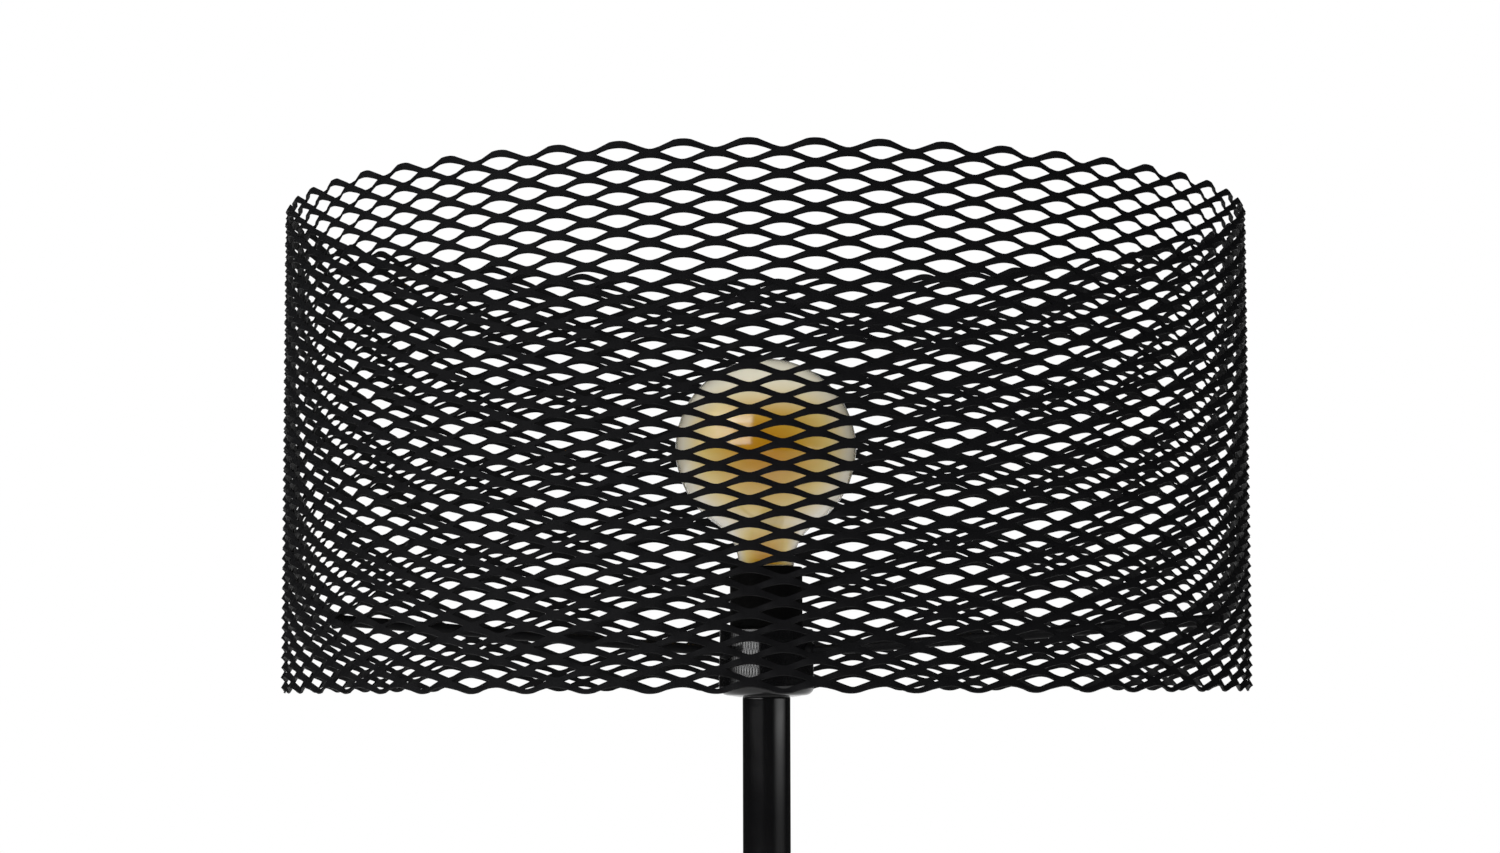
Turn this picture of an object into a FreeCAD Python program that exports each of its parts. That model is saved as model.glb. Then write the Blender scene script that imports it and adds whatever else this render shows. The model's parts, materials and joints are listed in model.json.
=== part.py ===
import FreeCAD, Part
import math
import os

# Floor lamp with an expanded-metal drum shade on a screwed tube pole.
# Millimetres, +Z up. Origin: middle of the base, on the floor.
# The front of the lamp faces -Y, and the cable leaves the base at the back, +Y.

V = FreeCAD.Vector
ORIGIN = V(0, 0, 0)
UP = V(0, 0, 1)

# ---------------------------------------------------------------- driving dimensions

# base
COVER_RADIUS = 150.0
COVER_WALL = 1.2
COVER_FLOOR_GAP = 1.5          # skirt edge above the floor
COVER_FILLET = 5.0
WEIGHT_CLEARANCE = 2.8         # rim of the weight inside the wall of the cover
WEIGHT_THICKNESS = 14.0
WEIGHT_CHAMFER = 6.0
PAD_SETBACK = 4.0              # rim of the pad inside the rim of the weight
PAD_THICKNESS = 3.0
SPANNER_ROOM = 7.0             # round the spring washer, in the recess for the nut
NUT_RECESS_DEPTH = 8.0

# cable entry at the back of the base
GLAND_ABOVE_PAD = 0.8
GLAND_BORE_RADIUS = 3.2
GLAND_WALL = 1.2
GLAND_FLANGE_WIDTH = 2.0
GLAND_FLANGE_THICKNESS = 3.0
GLAND_LENGTH = 15.0            # whole length, flange included
GLAND_CLEARANCE = 0.1
CABLE_GROOVE_CLEARANCE = 0.3

# pole
TUBE_RADIUS = 12.5
TUBE_WALL = 1.5
SECTION_LENGTH = 443.0
SECTION_NAMES = ("lower", "middle", "upper")
TUBE_END_CHAMFER = 0.4
COLLAR_WIDTH = 7.5             # from the tube to the collar's rim
COLLAR_HEIGHT = 12.0
COLLAR_SHOULDER = 4.0          # straight edge of the collar above the cover
COLLAR_LAND = 1.2              # flat ring at the top of the collar
COLLAR_CLEARANCE = 0.1

# pole thread and its fasteners
THREAD_RADIUS = 5.0
THREAD_CLEARANCE = 0.03        # radial, threads are drawn as plain cylinders
WIRE_BORE_RADIUS = 3.5         # cable way through every nipple
BUSH_LENGTH = 18.0
ENGAGEMENT = 12.0              # thread length taken up in one bush
NUT_FLATS = 14.0
NUT_THICKNESS = 4.5
SPRING_WASHER_RADIUS = 9.0
SPRING_WASHER_THICKNESS = 1.6
SPRING_WASHER_SLOT = 1.5
NIPPLE_PROUD = 0.5             # base nipple below its nut
HUB_WASHER_RADIUS = 11.0
HUB_WASHER_THICKNESS = 1.0

# hub cup
CUP_RADIUS = 25.0
CUP_WALL = 1.5
CUP_HEIGHT = 35.4
CUP_FLAT_MARGIN = 1.5          # flat seat wider than the pole
CUP_CORNER_WIDTH = 5.0         # corner round between the shallow dish and the wall
CUP_DISH_RISE = 1.6
CUP_CORNER_TOP = 6.4           # where the corner round meets the straight wall

# shade
SHADE_RADIUS = 250.0
SHADE_SHEET = 1.5
SHADE_HEIGHT = 250.0
SHADE_ABOVE_HUB = 2.6          # bottom rim above the underside of the cup
CELL_COLUMNS = 26              # diamonds in one row round the drum
CELL_ROWS = 24
HOLE_WIDTH = 44.4
HOLE_HEIGHT = 11.6
RIM_STRAND = 4.4               # metal above the top row and below the bottom row
SHADE_TURN = -1.1              # degrees, turns the pattern about the axis

# spider arms
ARM_COUNT = 3
ARM_RADIUS = 2.75
ARM_FIRST_AZIMUTH = 93.0       # degrees from +X
ARM_HUB_HEIGHT = 21.0          # centre line above the bottom rim, at the cup
ARM_SHADE_HEIGHT = 35.5        # centre line above the bottom rim, at the drum

# lampholder
HOLDER_RADIUS = 19.0
HOLDER_WALL = 2.0
HOLDER_GAP = 0.2               # holder above the hub nut
HOLDER_BODY_HEIGHT = 29.0
HOLDER_SKIRT_HEIGHT = 31.9
HOLDER_FLOOR = 3.0
HOLDER_CORNER = 4.0
HOLDER_BOSS_RADIUS = 8.0
HOLDER_BOSS_HEIGHT = 10.0
SPIGOT_HEIGHT = 3.0
SPIGOT_WALL = 1.8
SPIGOT_CLEARANCE = 0.05
SPIGOT_DEPTH = 4.0             # spigot ring below the body's top edge
MOUTH_CLEARANCE = 0.6          # round the neck of the bulb
MOUTH_DEPTH = 3.0
CORE_DEPTH = 10.0
CORE_FLANGE = 2.0
CORE_CLEARANCE = 0.1
LOCK_SCREW_RADIUS = 1.5
LOCK_SCREW_LENGTH = 3.0
LOCK_ACCESS_RADIUS = 2.0
LOCK_SCREW_HEIGHT = 6.5

# contacts in the lampholder
CAP_CLEARANCE = 0.25           # radial, between the cap and the screw shell
SCREW_SHELL_WALL = 0.4
SCREW_SHELL_HEIGHT = 20.0
SCREW_SHELL_FLANGE_BORE = 8.5
CONTACT_HEAD_RADIUS = 3.4
CONTACT_HEAD = 1.15
CONTACT_SHANK_RADIUS = 1.2
SIDE_CONTACT_OFFSET = 11.0
SIDE_HEAD_RADIUS = 1.9
SIDE_HEAD = 0.6
TERMINAL_WIDTH = 5.0
TERMINAL_HEIGHT = 6.0
CONTACT_SHANK_REACH = 3.0      # end of the shank inside its terminal
TERMINAL_SCREW_RADIUS = 1.25
TERMINAL_SCREW_DROP = 4.5      # screw axis below the top of the terminal
TERMINAL_SCREW_LENGTH = 5.0
TERMINAL_HEAD_RADIUS = 2.2
TERMINAL_HEAD = 1.4

# bulb
BULB_SEAT_GAP = 0.05           # contact tip above the centre contact
GLOBE_RADIUS = 47.5
GLOBE_ABOVE_TIP = 87.8         # centre of the globe above the contact tip
GLASS_WALL = 0.8
NECK_RADIUS = 14.6
NECK_STRAIGHT = 1.1            # straight neck between the cap and the hollow blend
CAP_RADIUS = 13.2
CAP_SHEET = 0.3
CAP_BOTTOM = 5.4               # metal edge above the contact tip
CAP_TOP = 26.4
CAP_THREAD_TOP = 21.0
CAP_THREAD_DEPTH = 0.7
CAP_THREAD_PITCH = 3.62
NECK_FOOT = 9.0                # bottom of the glass neck above the contact tip
NECK_STEP = 1.6                # height of the step from the neck to its foot
TIP_RADIUS = 4.6
TIP_HEIGHT = 1.6
INSULATOR_SETBACK = 0.6        # inside the bore of the cap
STEM_RADIUS = 4.0
STEM_FLARE_HEIGHT = 12.0
STEM_FLARE_EDGE = 1.0          # straight rim of the flare
STEM_FLARE_GAP = 0.05
STEM_TOP = 50.0                # above the contact tip
ROD_RADIUS = 1.0
FILAMENT_COUNT = 6
FILAMENT_RADIUS = 0.8
FILAMENT_GAP = 2.0             # lower wire ring above the shoulder of the stem
FILAMENT_RISE = 48.0           # from the lower wire ring to the upper one
RING_LOW_RADIUS = 6.5
RING_HIGH_RADIUS = 11.0
WIRE_RADIUS = 0.4
SPOKE_COUNT = 3
SPOKE_AZIMUTH = 30.0           # first spoke, degrees from +X

# ---------------------------------------------------------------- sizes and heights that follow

WEIGHT_RADIUS = COVER_RADIUS - COVER_WALL - WEIGHT_CLEARANCE
PAD_RADIUS = WEIGHT_RADIUS - PAD_SETBACK
NUT_RECESS_RADIUS = SPRING_WASHER_RADIUS + SPANNER_ROOM
PAD_TOP = PAD_THICKNESS
WEIGHT_TOP = PAD_TOP + WEIGHT_THICKNESS
BASE_TOP = WEIGHT_TOP + COVER_WALL
RECESS_TOP = PAD_TOP + NUT_RECESS_DEPTH
BASE_NUT_BOTTOM = RECESS_TOP - SPRING_WASHER_THICKNESS - NUT_THICKNESS
POLE_TOP = BASE_TOP + SECTION_LENGTH * len(SECTION_NAMES)
CUP_FLOOR = POLE_TOP + CUP_WALL
HUB_NUT_BOTTOM = CUP_FLOOR + HUB_WASHER_THICKNESS
HOLDER_FOOT = HUB_NUT_BOTTOM + NUT_THICKNESS + HOLDER_GAP
SHADE_BOTTOM = POLE_TOP + SHADE_ABOVE_HUB
HOLDER_SPLIT = HOLDER_FOOT + HOLDER_BODY_HEIGHT
SPIGOT_TOP = HOLDER_SPLIT + SPIGOT_HEIGHT
CORE_TOP = SPIGOT_TOP + CORE_FLANGE
TIP_BOTTOM = CORE_TOP + CONTACT_HEAD + BULB_SEAT_GAP
GLOBE_CENTRE = TIP_BOTTOM + GLOBE_ABOVE_TIP
THREAD_HOLE_RADIUS = THREAD_RADIUS + THREAD_CLEARANCE
TUBE_BORE_RADIUS = TUBE_RADIUS - TUBE_WALL
COLLAR_RADIUS = TUBE_RADIUS + COLLAR_WIDTH
CUP_FLAT_RADIUS = TUBE_RADIUS + CUP_FLAT_MARGIN
CUP_DISH_RADIUS = CUP_RADIUS - CUP_CORNER_WIDTH
HOLDER_TOP = HOLDER_SPLIT + HOLDER_SKIRT_HEIGHT
MOUTH_RADIUS = NECK_RADIUS + MOUTH_CLEARANCE
SCREW_SHELL_BORE = CAP_RADIUS + CAP_CLEARANCE
CAP_BORE_RADIUS = CAP_RADIUS - CAP_THREAD_DEPTH - CAP_SHEET
NECK_BLEND_DROP = GLOBE_ABOVE_TIP - CAP_TOP - NECK_STRAIGHT
FILAMENT_LOW = TIP_BOTTOM + STEM_TOP + STEM_RADIUS + FILAMENT_GAP
FILAMENT_HIGH = FILAMENT_LOW + FILAMENT_RISE
TERMINAL_TOP = SPIGOT_TOP - CORE_DEPTH
TERMINAL_SCREW_HEIGHT = TERMINAL_TOP - TERMINAL_SCREW_DROP
SHANK_BOTTOM = TERMINAL_TOP - CONTACT_SHANK_REACH
SPIGOT_OUTER = HOLDER_RADIUS - HOLDER_WALL - SPIGOT_CLEARANCE
SPIGOT_BORE = SPIGOT_OUTER - SPIGOT_WALL
GLAND_BODY_RADIUS = GLAND_BORE_RADIUS + GLAND_WALL
GLAND_FLANGE_RADIUS = GLAND_BODY_RADIUS + GLAND_FLANGE_WIDTH
CABLE_AXIS_HEIGHT = PAD_TOP + GLAND_ABOVE_PAD + GLAND_BODY_RADIUS

# how close two places count as the same one
NEAR = 1e-4

# ---------------------------------------------------------------- shape helpers


def ring(outer, bore, bottom, top):
    """Upright tube between two heights."""
    body = Part.makeCylinder(outer, top - bottom, V(0, 0, bottom))
    return body.cut(Part.makeCylinder(bore, top - bottom, V(0, 0, bottom)))


def disc(radius, bottom, top):
    return Part.makeCylinder(radius, top - bottom, V(0, 0, bottom))


def line(start, end):
    """Edge between two (radius, height) points of a turned profile."""
    return Part.makeLine(V(start[0], 0, start[1]), V(end[0], 0, end[1]))


def arc(start, middle, end):
    """Arc through three (radius, height) points of a turned profile."""
    points = [V(point[0], 0, point[1]) for point in (start, middle, end)]
    return Part.Arc(*points).toShape()


def turned(edges):
    """Solid of revolution about the lamp's axis, from the edges of a closed profile."""
    face = Part.Face(Part.Wire(edges))
    return face.revolve(ORIGIN, UP, 360)


def turned_polygon(points):
    closed = points + points[:1]
    return turned([line(a, b) for a, b in zip(closed, closed[1:])])


def quarter_point(start, end, bulge):
    """Middle point of a round corner between start and end, bulging towards the point bulge."""
    share = 1 - math.sqrt(0.5)
    middle = ((start[0] + end[0]) / 2, (start[1] + end[1]) / 2)
    reach = 1 - 2 * share
    return (middle[0] + (bulge[0] - middle[0]) * reach, middle[1] + (bulge[1] - middle[1]) * reach)


def rod_between(start, end, radius):
    direction = end - start
    return Part.makeCylinder(radius, direction.Length, start, direction)


def around(radius, azimuth, height):
    """Point at a radius and azimuth (degrees from +X)."""
    angle = math.radians(azimuth)
    return V(radius * math.cos(angle), radius * math.sin(angle), height)


def hex_nut(bottom):
    corner = NUT_FLATS / math.sqrt(3)
    points = [around(corner, 60 * step, bottom) for step in range(7)]
    body = Part.Face(Part.makePolygon(points)).extrude(UP * NUT_THICKNESS)
    return body.cut(disc(THREAD_HOLE_RADIUS, bottom, bottom + NUT_THICKNESS))


def nipple(bottom, top):
    """Hollow threaded rod that the cable runs through."""
    return ring(THREAD_RADIUS, WIRE_BORE_RADIUS, bottom, top)


# ---------------------------------------------------------------- base


def base_pad():
    return disc(PAD_RADIUS, 0, PAD_TOP)


def base_weight():
    blank = turned_polygon([
        (0, PAD_TOP),
        (WEIGHT_RADIUS, PAD_TOP),
        (WEIGHT_RADIUS, WEIGHT_TOP - WEIGHT_CHAMFER),
        (WEIGHT_RADIUS - WEIGHT_CHAMFER, WEIGHT_TOP),
        (0, WEIGHT_TOP),
    ])
    half = GLAND_BODY_RADIUS + CABLE_GROOVE_CLEARANCE
    groove_top = CABLE_AXIS_HEIGHT + half
    groove = Part.makeBox(2 * half, WEIGHT_RADIUS, groove_top - PAD_TOP, V(-half, 0, PAD_TOP))
    recess = disc(NUT_RECESS_RADIUS, PAD_TOP, RECESS_TOP)
    hole = disc(THREAD_HOLE_RADIUS, PAD_TOP, WEIGHT_TOP)
    return blank.cut([groove, recess, hole])


def cover_shell(radius, fillet, bottom, top):
    """Filled outline of the cover: a disc with a rounded top edge."""
    corner = (radius, top)
    low = (radius, top - fillet)
    high = (radius - fillet, top)
    return turned([
        line((0, bottom), (radius, bottom)),
        line((radius, bottom), low),
        arc(low, quarter_point(low, high, corner), high),
        line(high, (0, top)),
        line((0, top), (0, bottom)),
    ])


def base_cover():
    outside = cover_shell(COVER_RADIUS, COVER_FILLET, COVER_FLOOR_GAP, BASE_TOP)
    inside = cover_shell(COVER_RADIUS - COVER_WALL, COVER_FILLET - COVER_WALL, COVER_FLOOR_GAP, WEIGHT_TOP)
    nipple_hole = disc(THREAD_HOLE_RADIUS, WEIGHT_TOP, BASE_TOP)
    gland_hole = Part.makeCylinder(
        GLAND_BODY_RADIUS + GLAND_CLEARANCE,
        COVER_RADIUS,
        V(0, 0, CABLE_AXIS_HEIGHT),
        V(0, 1, 0),
    )
    return outside.cut([inside, nipple_hole, gland_hole])


def cable_gland():
    flange_face = COVER_RADIUS + GLAND_FLANGE_THICKNESS
    inner_end = flange_face - GLAND_LENGTH
    start = V(0, inner_end, CABLE_AXIS_HEIGHT)
    back = V(0, 1, 0)
    body = Part.makeCylinder(GLAND_BODY_RADIUS, GLAND_LENGTH, start, back)
    flange = Part.makeCylinder(
        GLAND_FLANGE_RADIUS,
        GLAND_FLANGE_THICKNESS,
        V(0, COVER_RADIUS, CABLE_AXIS_HEIGHT),
        back,
    )
    bore = Part.makeCylinder(GLAND_BORE_RADIUS, GLAND_LENGTH, start, back)
    return body.fuse(flange).cut(bore).removeSplitter()


def base_spring_washer():
    bottom = RECESS_TOP - SPRING_WASHER_THICKNESS
    washer = ring(SPRING_WASHER_RADIUS, THREAD_HOLE_RADIUS, bottom, RECESS_TOP)
    slot = Part.makeBox(
        SPRING_WASHER_RADIUS,
        SPRING_WASHER_SLOT,
        SPRING_WASHER_THICKNESS,
        V(0, -SPRING_WASHER_SLOT / 2, bottom),
    )
    return washer.cut(slot)


def foot_collar():
    """Turned ring round the foot of the pole, with a rounded shoulder."""
    bore = TUBE_RADIUS + COLLAR_CLEARANCE
    shoulder = (COLLAR_RADIUS, BASE_TOP + COLLAR_SHOULDER)
    crown = (bore + COLLAR_LAND, BASE_TOP + COLLAR_HEIGHT)
    bulge = (COLLAR_RADIUS, BASE_TOP + COLLAR_HEIGHT)
    return turned([
        line((bore, BASE_TOP), (COLLAR_RADIUS, BASE_TOP)),
        line((COLLAR_RADIUS, BASE_TOP), shoulder),
        arc(shoulder, quarter_point(shoulder, crown, bulge), crown),
        line(crown, (bore, BASE_TOP + COLLAR_HEIGHT)),
        line((bore, BASE_TOP + COLLAR_HEIGHT), (bore, BASE_TOP)),
    ])


# ---------------------------------------------------------------- pole


def pole_tube(bottom):
    """One tube section with a light chamfer round both ends."""
    top = bottom + SECTION_LENGTH
    return turned_polygon([
        (TUBE_BORE_RADIUS, bottom),
        (TUBE_RADIUS - TUBE_END_CHAMFER, bottom),
        (TUBE_RADIUS, bottom + TUBE_END_CHAMFER),
        (TUBE_RADIUS, top - TUBE_END_CHAMFER),
        (TUBE_RADIUS - TUBE_END_CHAMFER, top),
        (TUBE_BORE_RADIUS, top),
    ])


def tube_bush(bottom):
    """Threaded plug pressed into the end of a tube."""
    return ring(TUBE_BORE_RADIUS, THREAD_HOLE_RADIUS, bottom, bottom + BUSH_LENGTH)


def pole_nodes():
    nodes = {}
    for index, name in enumerate(SECTION_NAMES):
        bottom = BASE_TOP + index * SECTION_LENGTH
        nodes[name + "_tube"] = pole_tube(bottom)
        nodes[name + "_tube_foot_bush"] = tube_bush(bottom)
        nodes[name + "_tube_head_bush"] = tube_bush(bottom + SECTION_LENGTH - BUSH_LENGTH)
    for index, name in enumerate(SECTION_NAMES[1:]):
        joint = BASE_TOP + (index + 1) * SECTION_LENGTH
        nodes[name + "_joint_nipple"] = nipple(joint - ENGAGEMENT, joint + ENGAGEMENT)
    return nodes


# ---------------------------------------------------------------- hub


def cup_outline(offset):
    """Filled outline of the cup, drawn in by an offset from its outer surface."""
    radius = CUP_RADIUS - offset
    bottom = POLE_TOP + offset
    top = POLE_TOP + CUP_HEIGHT
    flat = (CUP_FLAT_RADIUS, bottom)
    dish = (CUP_DISH_RADIUS - offset / 2, bottom + CUP_DISH_RISE)
    wall = (radius, POLE_TOP + CUP_CORNER_TOP + offset / 2)
    corner = (radius, dish[1])
    return turned([
        line((0, bottom), flat),
        line(flat, dish),
        arc(dish, quarter_point(dish, wall, corner), wall),
        line(wall, (radius, top)),
        line((radius, top), (0, top)),
        line((0, top), (0, bottom)),
    ])


def hub_cup():
    hole = disc(THREAD_HOLE_RADIUS, POLE_TOP, CUP_FLOOR)
    return cup_outline(0).cut([cup_outline(CUP_WALL), hole])


def hub_washer():
    return ring(HUB_WASHER_RADIUS, THREAD_HOLE_RADIUS, CUP_FLOOR, HUB_NUT_BOTTOM)


def spider_arms():
    """Straight round bars from the wall of the cup to the inside of the drum."""
    reach = SHADE_RADIUS - SHADE_SHEET
    low = SHADE_BOTTOM
    high = SHADE_BOTTOM + SHADE_HEIGHT
    between = ring(reach, CUP_RADIUS, low, high)
    slope = (ARM_SHADE_HEIGHT - ARM_HUB_HEIGHT) / (reach - CUP_RADIUS)
    arms = []
    for index in range(ARM_COUNT):
        azimuth = ARM_FIRST_AZIMUTH + 360.0 * index / ARM_COUNT
        inner = around(0, azimuth, low + ARM_HUB_HEIGHT - slope * CUP_RADIUS)
        outer = around(SHADE_RADIUS, azimuth, low + ARM_SHADE_HEIGHT + slope * SHADE_SHEET)
        arms.append(rod_between(inner, outer, ARM_RADIUS).common(between))
    return Part.makeCompound([solid for arm in arms for solid in arm.Solids])


# ---------------------------------------------------------------- shade


def diamond_prism(azimuth, height):
    """Cutter for one diamond of the mesh, pointing outwards from the axis."""
    half_width = HOLE_WIDTH / 2
    half_height = HOLE_HEIGHT / 2
    points = [
        V(0, -half_width, height),
        V(0, 0, height - half_height),
        V(0, half_width, height),
        V(0, 0, height + half_height),
    ]
    face = Part.Face(Part.makePolygon(points + points[:1]))
    prism = face.extrude(V(SHADE_RADIUS + SHADE_SHEET, 0, 0))
    prism.rotate(ORIGIN, UP, azimuth)
    return prism


def mesh_sector():
    """Wall of the drum over one column of diamonds, with half diamonds at its two sides."""
    pitch = 360.0 / CELL_COLUMNS
    top = SHADE_BOTTOM + SHADE_HEIGHT
    base = V(0, 0, SHADE_BOTTOM)
    wall = Part.makeCylinder(SHADE_RADIUS, SHADE_HEIGHT, base, UP, pitch)
    wall = wall.cut(disc(SHADE_RADIUS - SHADE_SHEET, SHADE_BOTTOM, top))
    wall.rotate(ORIGIN, UP, -pitch / 2)
    first = RIM_STRAND + HOLE_HEIGHT / 2
    step = (SHADE_HEIGHT - 2 * first) / (CELL_ROWS - 1)
    cutters = []
    for row in range(CELL_ROWS):
        height = SHADE_BOTTOM + first + row * step
        azimuths = [-pitch / 2, pitch / 2] if row % 2 == 0 else [0.0]
        cutters += [diamond_prism(azimuth, height) for azimuth in azimuths]
    return wall.cut(Part.makeCompound(cutters))


def on_sector_side(face):
    """True for the flat upright faces where one sector meets the next."""
    if not isinstance(face.Surface, Part.Plane):
        return False
    azimuth = math.degrees(math.atan2(face.CenterOfMass.y, face.CenterOfMass.x))
    normal = face.Surface.Axis
    across = abs(normal.dot(around(1, azimuth, 0)))
    return abs(abs(azimuth) - 180.0 / CELL_COLUMNS) < NEAR and abs(normal.z) < NEAR and across < NEAR


def shade_mesh():
    """The whole drum: one sector's skin, repeated round the axis and sewn into one solid."""
    skin = [face for face in mesh_sector().Faces if not on_sector_side(face)]
    faces = []
    for column in range(CELL_COLUMNS):
        azimuth = SHADE_TURN + 360.0 * column / CELL_COLUMNS
        for face in skin:
            copy = face.copy()
            copy.rotate(ORIGIN, UP, azimuth)
            faces.append(copy)
    drum = Part.makeCompound(faces)
    drum.sewShape(NEAR)
    solid = Part.Solid(drum.Shells[0])
    if solid.Volume < 0:
        solid.reverse()
    return solid


# ---------------------------------------------------------------- lampholder


def holder_body():
    """Lower half: a cup with a threaded boss, and a thinner spigot ring at the top."""
    foot = HOLDER_FOOT
    low = (HOLDER_RADIUS, foot + HOLDER_CORNER)
    corner = (HOLDER_RADIUS, foot)
    edge = (HOLDER_RADIUS - HOLDER_CORNER, foot)
    bore = HOLDER_RADIUS - HOLDER_WALL
    shell = turned([
        line((0, foot), edge),
        arc(edge, quarter_point(edge, low, corner), low),
        line(low, (HOLDER_RADIUS, HOLDER_SPLIT)),
        line((HOLDER_RADIUS, HOLDER_SPLIT), (SPIGOT_OUTER, HOLDER_SPLIT)),
        line((SPIGOT_OUTER, HOLDER_SPLIT), (SPIGOT_OUTER, SPIGOT_TOP)),
        line((SPIGOT_OUTER, SPIGOT_TOP), (SPIGOT_BORE, SPIGOT_TOP)),
        line((SPIGOT_BORE, SPIGOT_TOP), (SPIGOT_BORE, HOLDER_SPLIT - SPIGOT_DEPTH)),
        line((SPIGOT_BORE, HOLDER_SPLIT - SPIGOT_DEPTH), (bore, HOLDER_SPLIT - SPIGOT_DEPTH)),
        line((bore, HOLDER_SPLIT - SPIGOT_DEPTH), (bore, foot + HOLDER_FLOOR)),
        line((bore, foot + HOLDER_FLOOR), (0, foot + HOLDER_FLOOR)),
        line((0, foot + HOLDER_FLOOR), (0, foot)),
    ])
    boss = disc(HOLDER_BOSS_RADIUS, foot, foot + HOLDER_BOSS_HEIGHT)
    thread = disc(THREAD_HOLE_RADIUS, foot, foot + HOLDER_BOSS_HEIGHT)
    side = V(0, 1, 0)
    height = foot + LOCK_SCREW_HEIGHT
    screw_hole = Part.makeCylinder(LOCK_SCREW_RADIUS, HOLDER_BOSS_RADIUS, V(0, 0, height), side)
    access = Part.makeCylinder(LOCK_ACCESS_RADIUS, HOLDER_RADIUS, V(0, HOLDER_BOSS_RADIUS, height), side)
    return shell.fuse(boss).cut([thread, screw_hole, access]).removeSplitter()


def holder_lock_screw():
    start = V(0, THREAD_RADIUS, HOLDER_FOOT + LOCK_SCREW_HEIGHT)
    screw = Part.makeCylinder(LOCK_SCREW_RADIUS, LOCK_SCREW_LENGTH, start, V(0, 1, 0))
    return screw.cut(disc(THREAD_RADIUS, HOLDER_FOOT, HOLDER_SPLIT))


def holder_skirt():
    """Upper half: plain sleeve with an inward lip round the mouth."""
    bore = HOLDER_RADIUS - HOLDER_WALL
    return turned_polygon([
        (bore, HOLDER_SPLIT),
        (HOLDER_RADIUS, HOLDER_SPLIT),
        (HOLDER_RADIUS, HOLDER_TOP),
        (MOUTH_RADIUS, HOLDER_TOP),
        (MOUTH_RADIUS, HOLDER_TOP - MOUTH_DEPTH),
        (bore, HOLDER_TOP - MOUTH_DEPTH),
    ])


def contact_holes():
    """Shank holes of the two contacts, through the insulating core."""
    height = CORE_TOP - TERMINAL_TOP
    places = (V(0, 0, TERMINAL_TOP), V(-SIDE_CONTACT_OFFSET, 0, TERMINAL_TOP))
    return [Part.makeCylinder(CONTACT_SHANK_RADIUS, height, place) for place in places]


def holder_core():
    """Insulating core: its flange lies on the spigot and carries the contacts."""
    plug = disc(SPIGOT_BORE - CORE_CLEARANCE, TERMINAL_TOP, SPIGOT_TOP)
    flange = disc(SPIGOT_OUTER, SPIGOT_TOP, CORE_TOP)
    return plug.fuse(flange).cut(contact_holes()).removeSplitter()


def screw_shell():
    """Sheet sleeve that takes the cap of the bulb, with a flange on the core."""
    outer = SCREW_SHELL_BORE + SCREW_SHELL_WALL
    floor = CORE_TOP + SCREW_SHELL_WALL
    shell = turned_polygon([
        (SCREW_SHELL_FLANGE_BORE, CORE_TOP),
        (outer, CORE_TOP),
        (outer, CORE_TOP + SCREW_SHELL_HEIGHT),
        (SCREW_SHELL_BORE, CORE_TOP + SCREW_SHELL_HEIGHT),
        (SCREW_SHELL_BORE, floor),
        (SCREW_SHELL_FLANGE_BORE, floor),
    ])
    hole = Part.makeCylinder(CONTACT_SHANK_RADIUS, SCREW_SHELL_WALL, V(-SIDE_CONTACT_OFFSET, 0, CORE_TOP))
    return shell.cut(hole)


def contact(offset, seat, head_radius, head):
    """Rivet with its head on a seat and its shank down through the core into a terminal."""
    place = V(-offset, 0, SHANK_BOTTOM)
    shank = Part.makeCylinder(CONTACT_SHANK_RADIUS, seat - SHANK_BOTTOM, place)
    top = Part.makeCylinder(head_radius, head, V(-offset, 0, seat))
    return shank.fuse(top).removeSplitter()


def centre_contact():
    return contact(0, CORE_TOP, CONTACT_HEAD_RADIUS, CONTACT_HEAD)


def side_contact():
    return contact(SIDE_CONTACT_OFFSET, CORE_TOP + SCREW_SHELL_WALL, SIDE_HEAD_RADIUS, SIDE_HEAD)


def terminal_blocks():
    """Two brass blocks under the core, one on each contact's shank."""
    half = TERMINAL_WIDTH / 2
    blocks = []
    for offset in (0, SIDE_CONTACT_OFFSET):
        corner = V(-offset - half, -half, TERMINAL_TOP - TERMINAL_HEIGHT)
        block = Part.makeBox(TERMINAL_WIDTH, TERMINAL_WIDTH, TERMINAL_HEIGHT, corner)
        shank = V(-offset, 0, SHANK_BOTTOM)
        shank_hole = Part.makeCylinder(CONTACT_SHANK_RADIUS, CONTACT_SHANK_REACH, shank)
        screw = V(-offset, -half, TERMINAL_SCREW_HEIGHT)
        screw_hole = Part.makeCylinder(TERMINAL_SCREW_RADIUS, TERMINAL_WIDTH, screw, V(0, 1, 0))
        blocks.append(block.cut([shank_hole, screw_hole]))
    return Part.makeCompound(blocks)


def terminal_screws():
    half = TERMINAL_WIDTH / 2
    screws = []
    for offset in (0, SIDE_CONTACT_OFFSET):
        face = V(-offset, -half, TERMINAL_SCREW_HEIGHT)
        shank = Part.makeCylinder(TERMINAL_SCREW_RADIUS, TERMINAL_SCREW_LENGTH, face, V(0, 1, 0))
        head = Part.makeCylinder(TERMINAL_HEAD_RADIUS, TERMINAL_HEAD, face, V(0, -1, 0))
        screws.append(shank.fuse(head).removeSplitter())
    return Part.makeCompound(screws)


# ---------------------------------------------------------------- bulb


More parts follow.
